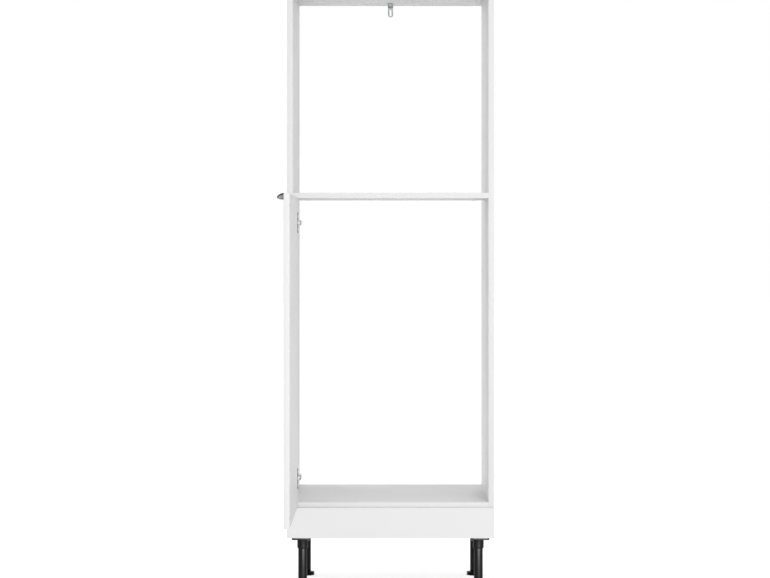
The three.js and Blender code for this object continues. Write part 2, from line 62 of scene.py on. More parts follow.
import bmesh
import bpy
from mathutils import Matrix, Vector


# Camera: level with the middle of the unit and straight in front of it, so far away that the two
# sides of the housing hardly draw together. The picture's crop lies low, hence the small shift.
photo_width = 770
photo_height = 578
level_line = 250
centre_line = 390.5
focal_length_pixels = 2510
sensor_width_mm = 36
eye_place = (0, -7.2595, 0.996)


def in_scene(name, data):
    """Puts new data in the scene as an object at the origin."""
    thing = bpy.data.objects.new(name, data)
    bpy.context.scene.collection.objects.link(thing)
    return thing


camera_data = bpy.data.cameras.new("camera")
camera_data.sensor_fit = "HORIZONTAL"
camera_data.sensor_width = sensor_width_mm
camera_data.lens = sensor_width_mm * focal_length_pixels / photo_width
camera_data.shift_x = (photo_width / 2 - centre_line) / photo_width
camera_data.shift_y = (level_line - photo_height / 2) / photo_width
camera = in_scene("camera", camera_data)
camera.location = eye_place
camera.rotation_euler = (math.pi / 2, 0, 0)
bpy.context.scene.camera = camera


# Side panels: two 16 mm chipboards with white melamine paper pressed on both faces. The front
# edge has a white plastic band glued on and trimmed round; the edges that nobody sees stay raw.
# Bolts of the connectors screw into the inner faces.
carcass = "carcass"
x_axis, y_axis, z_axis = 0, 1, 2
rightwards, rearwards, upwards, downwards = (1, 0, 0), (0, 1, 0), (0, 0, 1), (0, 0, -1)
left_and_right = (("left", -1), ("right", 1))
edge_ease = 0.0004
band_thickness = 0.001
seam_width = 0.00016
seam_depth = 0.00007
thread_radius = 0.0025
fit_gap = 0.00015
overrun = 0.001
touch = 1e-6
bore_sides = 40
hidden_sides = 16


def node(tree, kind, inputs=None, **settings):
    """A shader or geometry node with its sockets set to values or linked to other sockets."""
    made_node = tree.nodes.new(kind)
    for name, value in settings.items():
        setattr(made_node, name, value)
    for name, value in (inputs or {}).items():
        socket = made_node.inputs[name]
        if isinstance(value, bpy.types.NodeSocket):
            tree.links.new(value, socket)
        else:
            socket.default_value = value
    return made_node


def computed(tree, operation, *values, clamped=False):
    """The result of one step of arithmetic."""
    inputs = dict(enumerate(values))
    return node(tree, "ShaderNodeMath", inputs, operation=operation, use_clamp=clamped).outputs[0]


def blend(tree, factor, first, second):
    """The colour between two colours or sockets."""
    return node(tree, "ShaderNodeMix", {0: factor, 6: first, 7: second}, data_type="RGBA").outputs[2]


def remap(tree, value, low, high, new_low=0.0, new_high=1.0):
    """A value stretched from one range to another and held inside it."""
    return node(tree, "ShaderNodeMapRange", {
        "Value": value, "From Min": low, "From Max": high, "To Min": new_low, "To Max": new_high,
    }).outputs["Result"]


def noise(tree, place, scale, detail=3.0, roughness=0.5):
    return node(tree, "ShaderNodeTexNoise", {
        "Vector": place, "Scale": scale, "Detail": detail, "Roughness": roughness,
    }).outputs["Fac"]


def clouds(tree, place, scale, detail, spread=0.15, low=0.0, high=1.0, roughness=0.5):
    """Soft noise, with the part around its middle stretched over a range."""
    shape = noise(tree, place, scale, detail, roughness)
    return remap(tree, shape, 0.5 - spread, 0.5 + spread, low, high)


def grey(level, bluer=0.0):
    return (level, level, level + bluer, 1)


def finish(name, roughness, metallic=0.0):
    """A new material with its node tree, its main shader and the place on the object."""
    material = bpy.data.materials.new(name)
    material.use_nodes = True
    tree = material.node_tree
    main = tree.nodes["Principled BSDF"]
    main.inputs["Roughness"].default_value = roughness
    main.inputs["Metallic"].default_value = metallic
    place = node(tree, "ShaderNodeTexCoord").outputs["Object"]
    return material, tree, main, place


def stretched(tree, place, scale):
    return node(tree, "ShaderNodeMapping", {"Vector": place, "Scale": scale}).outputs["Vector"]


def coloured(tree, main, factor, first, second):
    tree.links.new(blend(tree, factor, first, second), main.inputs["Base Color"])


def bumped(tree, main, height, strength, distance=0.0001):
    bump = node(tree, "ShaderNodeBump", {"Height": height, "Strength": strength, "Distance": distance})
    tree.links.new(bump.outputs["Normal"], main.inputs["Normal"])


def white_melamine(name, colour, grain_scale, soft_gloss):
    """Pressed melamine paper: a fine pebble grain, a hardly seen drift in tone, soft gloss."""
    material, tree, main, place = finish(name, soft_gloss)
    duller = tuple(channel * 0.988 for channel in colour[:3]) + (1,)
    toned = blend(tree, clouds(tree, place, 2.3, 2.0), colour, duller)
    speck = clouds(tree, place, grain_scale * 0.6, 2.0, 0.08, 0.0, 0.035)
    coloured(tree, main, speck, toned, grey(0.77))
    smear = clouds(tree, place, 9.0, 4.0, 0.2, soft_gloss - 0.05, soft_gloss + 0.06)
    tree.links.new(smear, main.inputs["Roughness"])
    bumped(tree, main, noise(tree, place, grain_scale, 2.0), 0.02, 0.00008)
    return material


def plastic_band(name, colour):
    """Extruded edge band: faint drawing lines and a little more gloss than the board."""
    material, tree, main, place = finish(name, 0.36)
    drawn = noise(tree, stretched(tree, place, (900, 900, 900)), 1.0, 2.0)
    coloured(tree, main, remap(tree, drawn, 0.3, 0.7, 0.0, 0.35), colour, grey(0.79, 0.001))
    bumped(tree, main, drawn, 0.06)
    return material


def raw_chipboard(name, thin_axis):
    """The sawn edge: coarse pressed chips in the core, fine ones towards the faces."""
    material, tree, main, place = finish(name, 0.85)
    flattened = [1.0, 1.0, 1.0]
    flattened[thin_axis] = 2.6
    chips = stretched(tree, place, flattened)
    coarse = node(tree, "ShaderNodeTexVoronoi", {"Vector": chips, "Scale": 240})
    fine = node(tree, "ShaderNodeTexVoronoi", {"Vector": chips, "Scale": 700})
    depth = node(tree, "ShaderNodeAttribute", attribute_name="thickness_place").outputs["Fac"]
    outer_layer = remap(tree, computed(tree, "ABSOLUTE", depth), 0.5, 0.8)
    cell = blend(tree, outer_layer, coarse.outputs["Color"], fine.outputs["Color"])
    shade = node(tree, "ShaderNodeSeparateColor", {"Color": cell}).outputs[0]
    light_chip = blend(tree, shade, (0.34, 0.215, 0.115, 1), (0.63, 0.47, 0.30, 1))
    gaps = node(tree, "ShaderNodeTexVoronoi", {"Vector": chips, "Scale": 240}, feature="DISTANCE_TO_EDGE")
    gap = remap(tree, gaps.outputs["Distance"], 0.0, 0.12, 0.75, 0.0)
    fewer_gaps = computed(tree, "SUBTRACT", gap, outer_layer, clamped=True)
    coloured(tree, main, fewer_gaps, light_chip, (0.10, 0.06, 0.032, 1))
    bumped(tree, main, shade, 0.5, 0.0004)
    return material


melamine = white_melamine("white_melamine", grey(0.865, 0.001), 1400, 0.42)
band = plastic_band("white_edge_band", grey(0.82, 0.001))
raw_upright = raw_chipboard("raw_chipboard_of_upright_boards", x_axis)
raw_level = raw_chipboard("raw_chipboard_of_level_boards", z_axis)


def keep(name, form, *materials):
    """Turns a built form into an object at the origin."""
    mesh = bpy.data.meshes.new(name)
    form.to_mesh(mesh)
    form.free()
    for material in materials:
        mesh.materials.append(material)
    return in_scene(name, mesh)


def applied(piece):
    """Turns a piece's modifiers into its mesh."""
    bpy.context.view_layer.update()
    graph = bpy.context.evaluated_depsgraph_get()
    mesh = bpy.data.meshes.new_from_object(piece.evaluated_get(graph))
    piece.modifiers.clear()
    piece.data = mesh
    return piece


def cut(piece, *cutters, operation="DIFFERENCE"):
    """Cuts other pieces out of a piece, or joins them to it."""
    for cutter in cutters:
        modifier = piece.modifiers.new("cut", "BOOLEAN")
        modifier.operation = operation
        modifier.solver = "EXACT"
        modifier.object = cutter
        applied(piece)
        bpy.data.objects.remove(cutter)
    return piece


def joined(piece, *others):
    return cut(piece, *others, operation="UNION")


def eased(piece, width):
    """Rounds the sharp edges of a piece."""
    modifier = piece.modifiers.new("ease", "BEVEL")
    modifier.width = width
    modifier.segments = 2
    modifier.limit_method = "ANGLE"
    modifier.angle_limit = math.radians(30)
    modifier.use_clamp_overlap = True
    return applied(piece)


def smooth(piece, corner_degrees=40):
    """Shades a piece smoothly between its corners."""
    piece.data.polygons.foreach_set("use_smooth", [True] * len(piece.data.polygons))
    piece.data.set_sharp_from_angle(angle=math.radians(corner_degrees))
    return piece


def installed(piece, body, slot, *nodes):
    """A finished piece goes on its body and stands for its CAD nodes; the slot is not used."""
    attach(piece, body)
    if nodes:
        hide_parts(*nodes)


def turned_form(profile, sides, centre, direction=upwards):
    """A turned form from [radius, distance along the direction] points, ends on its axis."""
    form = bmesh.new()
    angles = [2 * math.pi * step / sides for step in range(sides)]
    rings = []
    for radius, height in profile:
        if radius < touch:
            rings.append([form.verts.new((0, 0, height))])
        else:
            ring = [(radius * math.cos(a), radius * math.sin(a), height) for a in angles]
            rings.append([form.verts.new(point) for point in ring])
    closed = len(rings[0]) > 1
    for lower, upper in zip(rings, rings[1:] + rings[:1] if closed else rings[1:]):
        for step in range(sides):
            after = (step + 1) % sides
            corners = [lower[step % len(lower)], lower[after % len(lower)]]
            corners += [upper[after % len(upper)], upper[step % len(upper)]]
            form.faces.new(list(dict.fromkeys(corners)))
    bmesh.ops.recalc_face_normals(form, faces=form.faces[:])
    turn = Vector(upwards).rotation_difference(Vector(direction)).to_matrix().to_4x4()
    form.transform(Matrix.Translation(centre) @ turn)
    return form


def bar(centre, radius, low, high, direction=upwards, sides=bore_sides, material=None):
    """A plain round bar, for a pin or to cut a bore; low and high are measured from the centre."""
    profile = [(0, low), (radius, low), (radius, high), (0, high)]
    return keep("cutter", turned_form(profile, sides, centre, direction), *([material] if material else []))


def block_form(low, high):
    form = bmesh.new()
    bmesh.ops.create_cube(form, size=1)
    for vertex in form.verts:
        vertex.co = Vector([low[i] if vertex.co[i] < 0 else high[i] for i in range(3)])
    return form


def seamed(form, low, high, axis, side, thin_axis):
    """Presses the glue seam of an edge band into both faces of a board."""
    edge_place = high[axis] if side > 0 else low[axis]
    across = Vector([float(i == axis) for i in range(3)])
    for distance in (band_thickness, band_thickness + seam_width / 2, band_thickness + seam_width):
        bmesh.ops.bisect_plane(
            form, geom=form.verts[:] + form.edges[:] + form.faces[:], dist=touch,
            plane_co=across * (edge_place - side * distance), plane_no=across,
        )
    seam_middle = edge_place - side * (band_thickness + seam_width / 2)
    for vertex in form.verts:
        if abs(vertex.co[axis] - seam_middle) < 5 * touch:
            if abs(vertex.co[thin_axis] - low[thin_axis]) < 5 * touch:
                vertex.co[thin_axis] += seam_depth
            elif abs(vertex.co[thin_axis] - high[thin_axis]) < 5 * touch:
                vertex.co[thin_axis] -= seam_depth


def board(name, node_name, thin_axis, banded, raw, body=carcass, cutters=()):
    """A melamine-faced board with its bands, their seams, its raw edges and its bores."""
    low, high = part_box(node_name)
    form = block_form(low, high)
    bmesh.ops.bevel(form, geom=form.edges[:], offset=edge_ease, segments=2, profile=0.5, affect="EDGES")
    for axis, side in banded:
        seamed(form, low, high, axis, side, thin_axis)
    band_reach = band_thickness + seam_width / 2
    for face in form.faces:
        centre = face.calc_center_median()
        if any(
            (high[axis] - centre[axis] if side > 0 else centre[axis] - low[axis]) < band_reach
            for axis, side in banded
        ):
            face.material_index = 1
        elif abs(face.normal[thin_axis]) < 0.5:
            face.material_index = 2
    piece = keep(name, form, melamine, band, raw)
    for cutter in cutters:
        for material in (melamine, band, raw):
            cutter.data.materials.append(material)
        cutter.data.polygons.foreach_set("material_index", [2] * len(cutter.data.polygons))
        cut(piece, cutter)
    middle = (low[thin_axis] + high[thin_axis]) / 2
    half = (high[thin_axis] - low[thin_axis]) / 2
    layer = piece.data.attributes.new("thickness_place", "FLOAT", "POINT")
    layer.data.foreach_set("value", [(v.co[thin_axis] - middle) / half for v in piece.data.vertices])
    installed(smooth(piece, 35), body, "white_board", node_name)


# The places of the connectors, read from their solids: the cam's centre, its open face, the
# way to the side panel and whether the cam's face looks up.
level_panels = ("top_panel", "middle_shelf", "fridge_floor", "bottom_panel")
front_edge = [(y_axis, -1)]
connectors = []
for panel in level_panels:
    panel_low, panel_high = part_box(panel)
    for side_name, side in left_and_right:
        for row in ("front", "rear"):
            connector_name = f"connector_{panel}_{side_name}_{row}"
            low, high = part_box(connector_name)
            radius = (high.y - low.y) / 2
            cam_x = (low.x if side > 0 else high.x) + side * radius
            faces_up = abs(high.z - panel_high.z) < abs(low.z - panel_low.z)
            connectors.append(SimpleNamespace(
                name=connector_name, panel=panel, side=side, faces_up=faces_up, radius=radius,
                centre=Vector((cam_x, (low.y + high.y) / 2, high.z if faces_up else low.z)),
                bolt_z=(panel_low.z + panel_high.z) / 2, depth=high.z - low.z,
                thread_end=high.x if side > 0 else low.x,
            ))

for side_name, side in left_and_right:
    side_node = f"side_panel_{side_name}"
    low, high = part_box(side_node)
    inner_x = low.x if side > 0 else high.x
    bores = []
    for joint in connectors:
        if joint.side == side:
            start = Vector((inner_x - side * overrun, joint.centre.y, joint.bolt_z))
            length = abs(joint.thread_end - inner_x) + overrun + fit_gap
            bores.append(bar(start, thread_radius + fit_gap, 0, length, (side, 0, 0), hidden_sides))
    board(f"{side_name}_side", side_node, x_axis, front_edge, raw_upright, cutters=bores)


# Top, shelf, fridge floor and bottom: the same board as the sides, banded at the front edge
# only. Each end is bored for two cams and their bolts, which draw it against the side panels,
# and the top also for the two screws of the wall bracket.
bolt_radius = 0.0033
bracket_screws = ("wall_bracket_screw_front", "wall_bracket_screw_rear")
bracket_shank = 0.002


def middle_of(node_name):
    """The middle of a CAD solid's box."""
    low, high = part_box(node_name)
    return SimpleNamespace(x=(low.x + high.x) / 2, y=(low.y + high.y) / 2, z=(low.z + high.z) / 2)


for panel in level_panels:
    low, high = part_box(panel)
    bores = []
    for joint in connectors:
        if joint.panel == panel:
            inward = downwards if joint.faces_up else upwards
            bores.append(bar(joint.centre, joint.radius + fit_gap, -overrun, joint.depth + fit_gap, inward))
            start = Vector((joint.centre.x, joint.centre.y, joint.bolt_z))
            length = (high.x if joint.side > 0 else -low.x) - abs(start.x) + overrun
            bores.append(bar(start, bolt_radius + fit_gap, 0, length, (joint.side, 0, 0), hidden_sides))
    for screw in bracket_screws if panel == "top_panel" else ():
        start = Vector((0, middle_of(screw).y, low.z))
        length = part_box(screw)[1].z - low.z + fit_gap
        bores.append(bar(start, bracket_shank + fit_gap, -overrun, length, upwards, hidden_sides))
    board(panel.replace("_panel", "") + "_board", panel, z_axis, front_edge, raw_level, cutters=bores)


# Connectors: zinc die-cast cams with a cross slot, each closed on the head of a steel bolt that
# screws into the side panel. They lie flush in their bores.
def plated_steel(name, colour, roughness, mottle_scale, mottle):
    """Zinc or nickel plating: a faint crystal mottle, fine drawing marks, soft reflections."""
    material, tree, main, place = finish(name, roughness, 1.0)
    darker = tuple(channel * (1 - mottle) for channel in colour[:3]) + (1,)
    coloured(tree, main, clouds(tree, place, mottle_scale, 4.0, roughness=0.6), colour, darker)
    worn = clouds(tree, place, mottle_scale * 3, 3.0, 0.2, roughness - 0.06, roughness + 0.1)
    tree.links.new(worn, main.inputs["Roughness"])
    bumped(tree, main, noise(tree, place, mottle_scale * 12, 2.0), 0.08, 0.00008)
    return material


zinc_colour = (0.70, 0.705, 0.71, 1)
zinc = plated_steel("bright_zinc_plating", zinc_colour, 0.38, 260, 0.10)
nickel = plated_steel("nickel_plating", (0.87, 0.865, 0.857, 1), 0.30, 180, 0.05)

cam_slot_length = 0.009
cam_slot_width = 0.0014
cam_slot_depth = 0.002
cam_rim = 0.0006
cam_sides = 32

first = connectors[0]
cam_profile = [
    (0, 0), (first.radius - cam_rim, 0), (first.radius, -cam_rim), (first.radius, -first.depth + cam_rim),
    (first.radius - cam_rim, -first.depth), (0, -first.depth),
]
bolt_start = (0, 0, -abs(first.centre.z - first.bolt_z))
panel_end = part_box("side_panel_right")[0].x - abs(first.centre.x)
thread_end = abs(first.thread_end) - abs(first.centre.x)
cam = keep("cam_and_bolt", turned_form(cam_profile, cam_sides, (0, 0, 0)), zinc)
joined(
    cam,
    bar(bolt_start, bolt_radius, 0, panel_end, rightwards, hidden_sides, zinc),
    bar(bolt_start, thread_radius, panel_end - overrun, thread_end, rightwards, hidden_sides, zinc),
)
half_slot, half_width = cam_slot_length / 2, cam_slot_width / 2
for reach_x, reach_y in ((half_slot, half_width), (half_width, half_slot)):
    cut(cam, keep("cutter", block_form((-reach_x, -reach_y, -cam_slot_depth), (reach_x, reach_y, overrun))))


def opened_tree(name, inputs, output):
    """A new geometry tree with its named inputs and its one output."""
    tree = bpy.data.node_groups.new(name, "GeometryNodeTree")
    for input_name, kind in inputs.items():
        tree.interface.new_socket(input_name, in_out="INPUT", socket_type=f"NodeSocket{kind}")
    tree.interface.new_socket(output, in_out="OUTPUT", socket_type="NodeSocketGeometry")
    return tree, node(tree, "NodeGroupInput").outputs


def closed_tree(tree, geometry, material, output):
    """Ends a geometry tree in a real mesh, clad in its material."""
    real = node(tree, "GeometryNodeRealizeInstances", {"Geometry": geometry}).outputs["Geometry"]
    clad = node(tree, "GeometryNodeSetMaterial", {"Geometry": real, "Material": material})
    node(tree, "NodeGroupOutput", {output: clad.outputs["Geometry"]})


def grown(piece, tree, values):
    """Runs a geometry tree on a piece with the given inputs, and keeps the mesh."""
    modifier = piece.modifiers.new("layout", "NODES")
    modifier.node_group = tree
    for socket in tree.interface.items_tree:
        if socket.in_out == "INPUT" and socket.name in values:
            modifier[socket.identifier] = values[socket.name]
    return applied(piece)


def setting_out_tree(name, material):
    """Sets one fitting out on points that carry its turn, with a random twist about its own axis."""
    tree, given = opened_tree(name, {
        "Places": "Geometry", "Fitting": "Object", "Size": "Float", "Largest Twist": "Float", "Seed": "Int",
    }, "Fittings")
    shape = node(tree, "GeometryNodeObjectInfo", {"Object": given["Fitting"]})
    facing = node(tree, "GeometryNodeInputNamedAttribute", {"Name": "facing"}, data_type="FLOAT_VECTOR")
    turn = node(tree, "FunctionNodeEulerToRotation", {"Euler": facing.outputs["Attribute"]})
    twist = node(tree, "FunctionNodeRandomValue", {
        3: given["Largest Twist"], "Seed": given["Seed"],
    }, data_type="FLOAT")
    about_axis = node(tree, "ShaderNodeCombineXYZ", {"Z": twist.outputs[1]})
    twisted = node(tree, "FunctionNodeEulerToRotation", {"Euler": about_axis.outputs[0]})
    both = node(tree, "FunctionNodeRotateRotation", {
        "Rotation": turn.outputs[0], "Rotate By": twisted.outputs[0],
    }, rotation_space="LOCAL")
    size = node(tree, "ShaderNodeCombineXYZ", {axis: given["Size"] for axis in "XYZ"})
    placed = node(tree, "GeometryNodeInstanceOnPoints", {
        "Points": given["Places"], "Instance": shape.outputs["Geometry"],
        "Rotation": both.outputs[0], "Scale": size.outputs[0],
    })
    closed_tree(tree, placed.outputs["Instances"], material, "Fittings")
    return tree


def set_out(name, fitting, places, material, largest_twist=0.0, seed=0):
    """One mesh of all the copies of a fitting; each place is (point, turn as X, Y, Z angles)."""
    fitting.data.materials[0] = material
    mesh = bpy.data.meshes.new(name)
    mesh.from_pydata([point for point, turn in places], [], [])
    facing = mesh.attributes.new("facing", "FLOAT_VECTOR", "POINT")
    facing.data.foreach_set("vector", [angle for point, turn in places for angle in turn])
    return grown(in_scene(name, mesh), setting_out_tree(f"{name}_layout", material), {
        "Fitting": fitting, "Size": 1.0, "Largest Twist": largest_twist, "Seed": seed,
    })


cam_places = []
for joint in connectors:
    flipped = 0 if joint.faces_up else math.pi
    turned_round = 0 if joint.side > 0 else math.pi
    cam_places.append((joint.centre, (flipped, 0, turned_round)))
cams = set_out("cams_and_bolts", cam, cam_places, zinc)
bpy.data.objects.remove(cam)
installed(smooth(cams, 35), carcass, "zinc_plate", *[joint.name for joint in connectors])


# Cover caps: white polyethylene caps pressed over the four cams under the shelf, where they
# would be seen from the fridge niche.
cap_radius = 0.0085
cap_height = 0.0012
cap_edge = 0.0005
cap_sides = 36
cap_profile = [
    (0, 0.0001), (cap_radius - cap_edge, 0.0001), (cap_radius, 0.0003), (cap_radius, cap_edge),
    (cap_radius - cap_edge, cap_height * 0.8), (cap_radius * 0.6, cap_height), (0, cap_height),
]
moulded_white = plastic_band("moulded_white_plastic", grey(0.84, -0.01))
cap = keep("cover_cap", turned_form(cap_profile, cap_sides, (0, 0, 0)), moulded_white)
cap_places = [(joint.centre, (math.pi, 0, 0)) for joint in connectors if joint.panel == "middle_shelf"]
caps = set_out("cover_caps", cap, cap_places, moulded_white)
bpy.data.objects.remove(cap)
installed(smooth(caps, 35), carcass, "white_board")


# Leg sockets: black injection-moulded plastic, a rounded plate with a collar under it. Each is
# screwed to the underside of the bottom panel and grips its leg tube.
collar_wall = 0.0025
collar_taper = 0.003
collar_fillet = collar_wall * 0.7
plate_corner = 0.007
plate_ease = 0.0008
leg_sides = 64
corner_steps = 6


def moulded_plastic(name, colour, roughness, grain):
    """Dark moulded plastic: fine spark-eroded grain, faint flow marks, scuffs in the gloss."""
    material, tree, main, place = finish(name, roughness)
    main.inputs["Specular IOR Level"].default_value = 0.11
    greyer = tuple(channel * 1.9 for channel in colour[:3]) + (1,)
    coloured(tree, main, clouds(tree, stretched(tree, place, (30, 30, 6)), 1.0, 4.0), colour, greyer)
    rubbed = clouds(tree, place, 60, 5.0, 0.2, roughness - 0.02, roughness + 0.04, 0.65)
    tree.links.new(rubbed, main.inputs["Roughness"])
    bumped(tree, main, noise(tree, place, grain, 2.0), 0.12)
    return material


black_plastic = moulded_plastic("black_moulded_plastic", grey(0.0032, 0.0002), 0.38, 2600)


def raised(name, outline, low, high, place, material):
    """A piece raised from an outline between two levels; place turns three values into a point."""
    form = bmesh.new()
    lower = [form.verts.new(place(u, v, low)) for u, v in outline]
    upper = [form.verts.new(place(u, v, high)) for u, v in outline]
    form.faces.new(lower)
    form.faces.new(upper)
    for step in range(len(outline)):
        after = (step + 1) % len(outline)
        form.faces.new((lower[step], lower[after], upper[after], upper[step]))
    bmesh.ops.recalc_face_normals(form, faces=form.faces[:])
    return keep(name, form, material)


def rounded_outline(u_low, u_high, v_low, v_high, radius, steps=corner_steps):
    """A rectangle with rounded corners."""
    points = []
    corners = ((u_high, v_high, 0), (u_low, v_high, 1), (u_low, v_low, 2), (u_high, v_low, 3))
    for u, v, quarter in corners:
        centre_u = u - radius if u == u_high else u + radius
        centre_v = v - radius if v == v_high else v + radius
        for step in range(steps + 1):
            angle = math.pi / 2 * (quarter + step / steps)
            points.append((centre_u + radius * math.cos(angle), centre_v + radius * math.sin(angle)))
    return points


def along_z(u, v, level):
    return (u, v, level)


legs = []
for row in ("front", "rear"):
    for side_name, side in left_and_right:
        name = f"leg_{row}_{side_name}"
        middle = middle_of(f"{name}_foot")
        legs.append(SimpleNamespace(name=name, side=side, axis=(middle.x, middle.y, 0)))

for leg in legs:
    socket = f"{leg.name}_socket"
    low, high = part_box(socket)
    tube_low, tube_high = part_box(f"{leg.name}_tube")
    plate_low = tube_high.z
    inner = (tube_high.x - tube_low.x) / 2 + 2 * fit_gap
    outer = inner + collar_wall
    outline = rounded_outline(low.x, high.x, low.y, high.y, plate_corner)
    plate = eased(raised(socket, outline, plate_low, high.z, along_z, black_plastic), plate_ease)
    collar_profile = [
        (inner, plate_low + overrun), (inner, low.z + plate_ease), (inner + plate_ease, low.z),
        (outer - collar_wall * 0.55, low.z), (outer - plate_ease * 0.3, low.z + collar_taper),
        (outer, low.z + collar_taper * 1.3), (outer, plate_low - collar_fillet),
        (outer + collar_fillet * 0.3, plate_low - collar_fillet * 0.3),
        (outer + collar_fillet, plate_low), (outer + collar_fillet, plate_low + overrun),
    ]
    joined(plate, keep("collar", turned_form(collar_profile, leg_sides, leg.axis), black_plastic))
    installed(smooth(plate), carcass, "black_plastic", socket)


# Leg tubes: extruded black plastic tubes, pushed into the sockets. A moulded nut fills the lower
# end, where the foot's stem screws in.
tube_wall = 0.0024
tube_ease = 0.0006
nut_height = 0.012
stem_radius = 0.008
nut_radius = stem_radius + 2 * fit_gap

for leg in legs:
    tube = f"{leg.name}_tube"
    low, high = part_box(tube)
    radius = (high.x - low.x) / 2
    profile = [
        (nut_radius, low.z), (radius - tube_ease, low.z),
        (radius - tube_ease * 0.3, low.z + tube_ease * 0.3), (radius, low.z + tube_ease),
        (radius, high.z), (radius - tube_wall, high.z),
        (radius - tube_wall, low.z + nut_height), (nut_radius, low.z + nut_height),
    ]
    piece = keep(tube, turned_form(profile, leg_sides, leg.axis), black_plastic)
    installed(smooth(piece), carcass, "black_plastic", tube)


# Screw feet: black plastic pads with a groove round the edge for the fingers, moulded in one
# with a coarse-threaded stem. Turning a foot sets the height of its corner.
stem_core = 0.0071
stem_taper = 0.002
thread_pitch = 0.003
thread_start = 0.0125
pad_profile = [
    (0, 0), (0.0185, 0), (0.0200, 0.0002), (0.0232, 0.0011), (0.0240, 0.0019), (0.0240, 0.0040),
    (0.0234, 0.0046), (0.0216, 0.0050), (0.0210, 0.0055), (0.0216, 0.0060), (0.0234, 0.0074),
    (0.0240, 0.0080), (0.0240, 0.0098), (0.0236, 0.0106), (0.0228, 0.0110), (0.0120, 0.0110),
    (0.0105, 0.0108), (0.0092, 0.0110), (stem_core, 0.0114),
]


def thread_tree():
    """A coil of ridged thread on the Z axis."""
    sizes = dict.fromkeys(("Core Radius", "Pitch", "Length", "Ridge"), "Float")
    tree, given = opened_tree("stem_thread", sizes, "Coil")
    spiral = node(tree, "GeometryNodeCurveSpiral", {
        "Resolution": 40, "Rotations": computed(tree, "DIVIDE", given["Length"], given["Pitch"]),
        "Start Radius": given["Core Radius"], "End Radius": given["Core Radius"],
        "Height": given["Length"],
    })
    ridge = node(tree, "GeometryNodeCurvePrimitiveCircle", {"Resolution": 5, "Radius": given["Ridge"]})
    coil = node(tree, "GeometryNodeCurveToMesh", {
        "Curve": spiral.outputs["Curve"], "Profile Curve": ridge.outputs["Curve"], "Fill Caps": True,
    })
    closed_tree(tree, coil.outputs["Mesh"], black_plastic, "Coil")
    return tree


threading = thread_tree()

for leg in legs:
    foot = f"{leg.name}_foot"
    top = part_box(foot)[1].z
    stem_tip = [(stem_core, top - stem_taper), (stem_core - stem_taper, top), (0, top)]
    pad = keep(foot, turned_form(pad_profile + stem_tip, leg_sides, leg.axis), black_plastic)
    installed(smooth(pad), foot, "black_plastic", foot)
    coil = in_scene(f"{foot}_thread", bpy.data.meshes.new(f"{foot}_thread"))
    grown(coil, threading, {
        "Core Radius": stem_core, "Pitch": thread_pitch,
        "Length": top - stem_taper - thread_start, "Ridge": stem_radius - stem_core,
    })
    coil.data.transform(Matrix.Translation((leg.axis[0], leg.axis[1], thread_start)))
    installed(smooth(coil, 50), foot, "black_plastic")


# Fascia: a fixed strip of the same white board under the door, banded on all four edges and
# held from behind by two angles.
def edges_across(*axes):
    """Both edges of a board across each axis, as its bands are listed."""
    return [(axis, side) for axis in axes for side in (-1, 1)]


board("fascia", "front_fascia", y_axis, edges_across(x_axis, z_axis), raw_upright)


# Fascia angles: pressed from 2 mm zinc-plated strip. One leg lies on the bottom panel, the other
# stands behind the fascia, and each has one screw hole.
strip_thickness = 0.002
strip_ease = 0.00025
angle_bend = 0.0026
bend_steps = 6
hole_radius = 0.0022


def bend_arc(corner_u, corner_v, way_u, way_v, bend, steps=bend_steps):
    """A quarter round in the corner of two straight legs."""
    angles = [math.pi / 2 * step / steps for step in range(steps + 1)]
    return [
        (corner_u + way_u * bend * (1 - math.sin(a)), corner_v + way_v * bend * (1 - math.cos(a)))
        for a in angles
    ]


def bent_strip_outline(corner_u, corner_v, reach_u, reach_v, thickness, bend):
    """The profile of an angle with its outer corner given; the reaches carry their signs."""
    way_u = math.copysign(1, reach_u)
    way_v = math.copysign(1, reach_v)
    inner_u, inner_v = corner_u + way_u * thickness, corner_v + way_v * thickness
    outer = bend_arc(corner_u, corner_v, way_u, way_v, bend)
    inner = bend_arc(inner_u, inner_v, way_u, way_v, max(bend - thickness, thickness * 0.2))
    long_end = [(corner_u + reach_u, corner_v), (corner_u + reach_u, inner_v)]
    tall_end = [(inner_u, corner_v + reach_v), (corner_u, corner_v + reach_v)]
    return long_end + inner + tall_end + outer[::-1]


def along_x(u, v, level):
    return (level, u, v)


for side_name, side in left_and_right:
    angle = f"fascia_angle_{side_name}"
    low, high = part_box(angle)
    centre_x = (low.x + high.x) / 2
    outline = bent_strip_outline(low.y, low.z, high.y - low.y, high.z - low.z, strip_thickness, angle_bend)
    strip = raised(angle, outline, low.x, high.x, along_x, zinc)
    hole_distance = strip_thickness + (high.y - low.y - strip_thickness) / 2
    for place, way in (
        ((centre_x, low.y, low.z + hole_distance), rearwards),
        ((centre_x, low.y + hole_distance, low.z), upwards),
    ):
        cut(strip, bar(place, hole_radius, -overrun, 3 * overrun, way, bore_sides, zinc))
    installed(smooth(eased(strip, strip_ease)), carcass, "zinc_plate", angle)


# Wall bracket: a folded, zinc-plated steel strip under the rear edge of the top panel. Its
# hanging leg has a round end and a long slot for the screw in the wall. Shade is painted into
# the zinc's colour: it turns dark at the fold and on the lying leg, next to the top panel.
bracket_bend = 0.0028
slot_radius = 0.003
slot_end_distance = 0.004
slot_length = 0.020
slot_corner_share = 0.999
slot_steps = 12


def along_y(u, v, level):
    return (u, level, v)


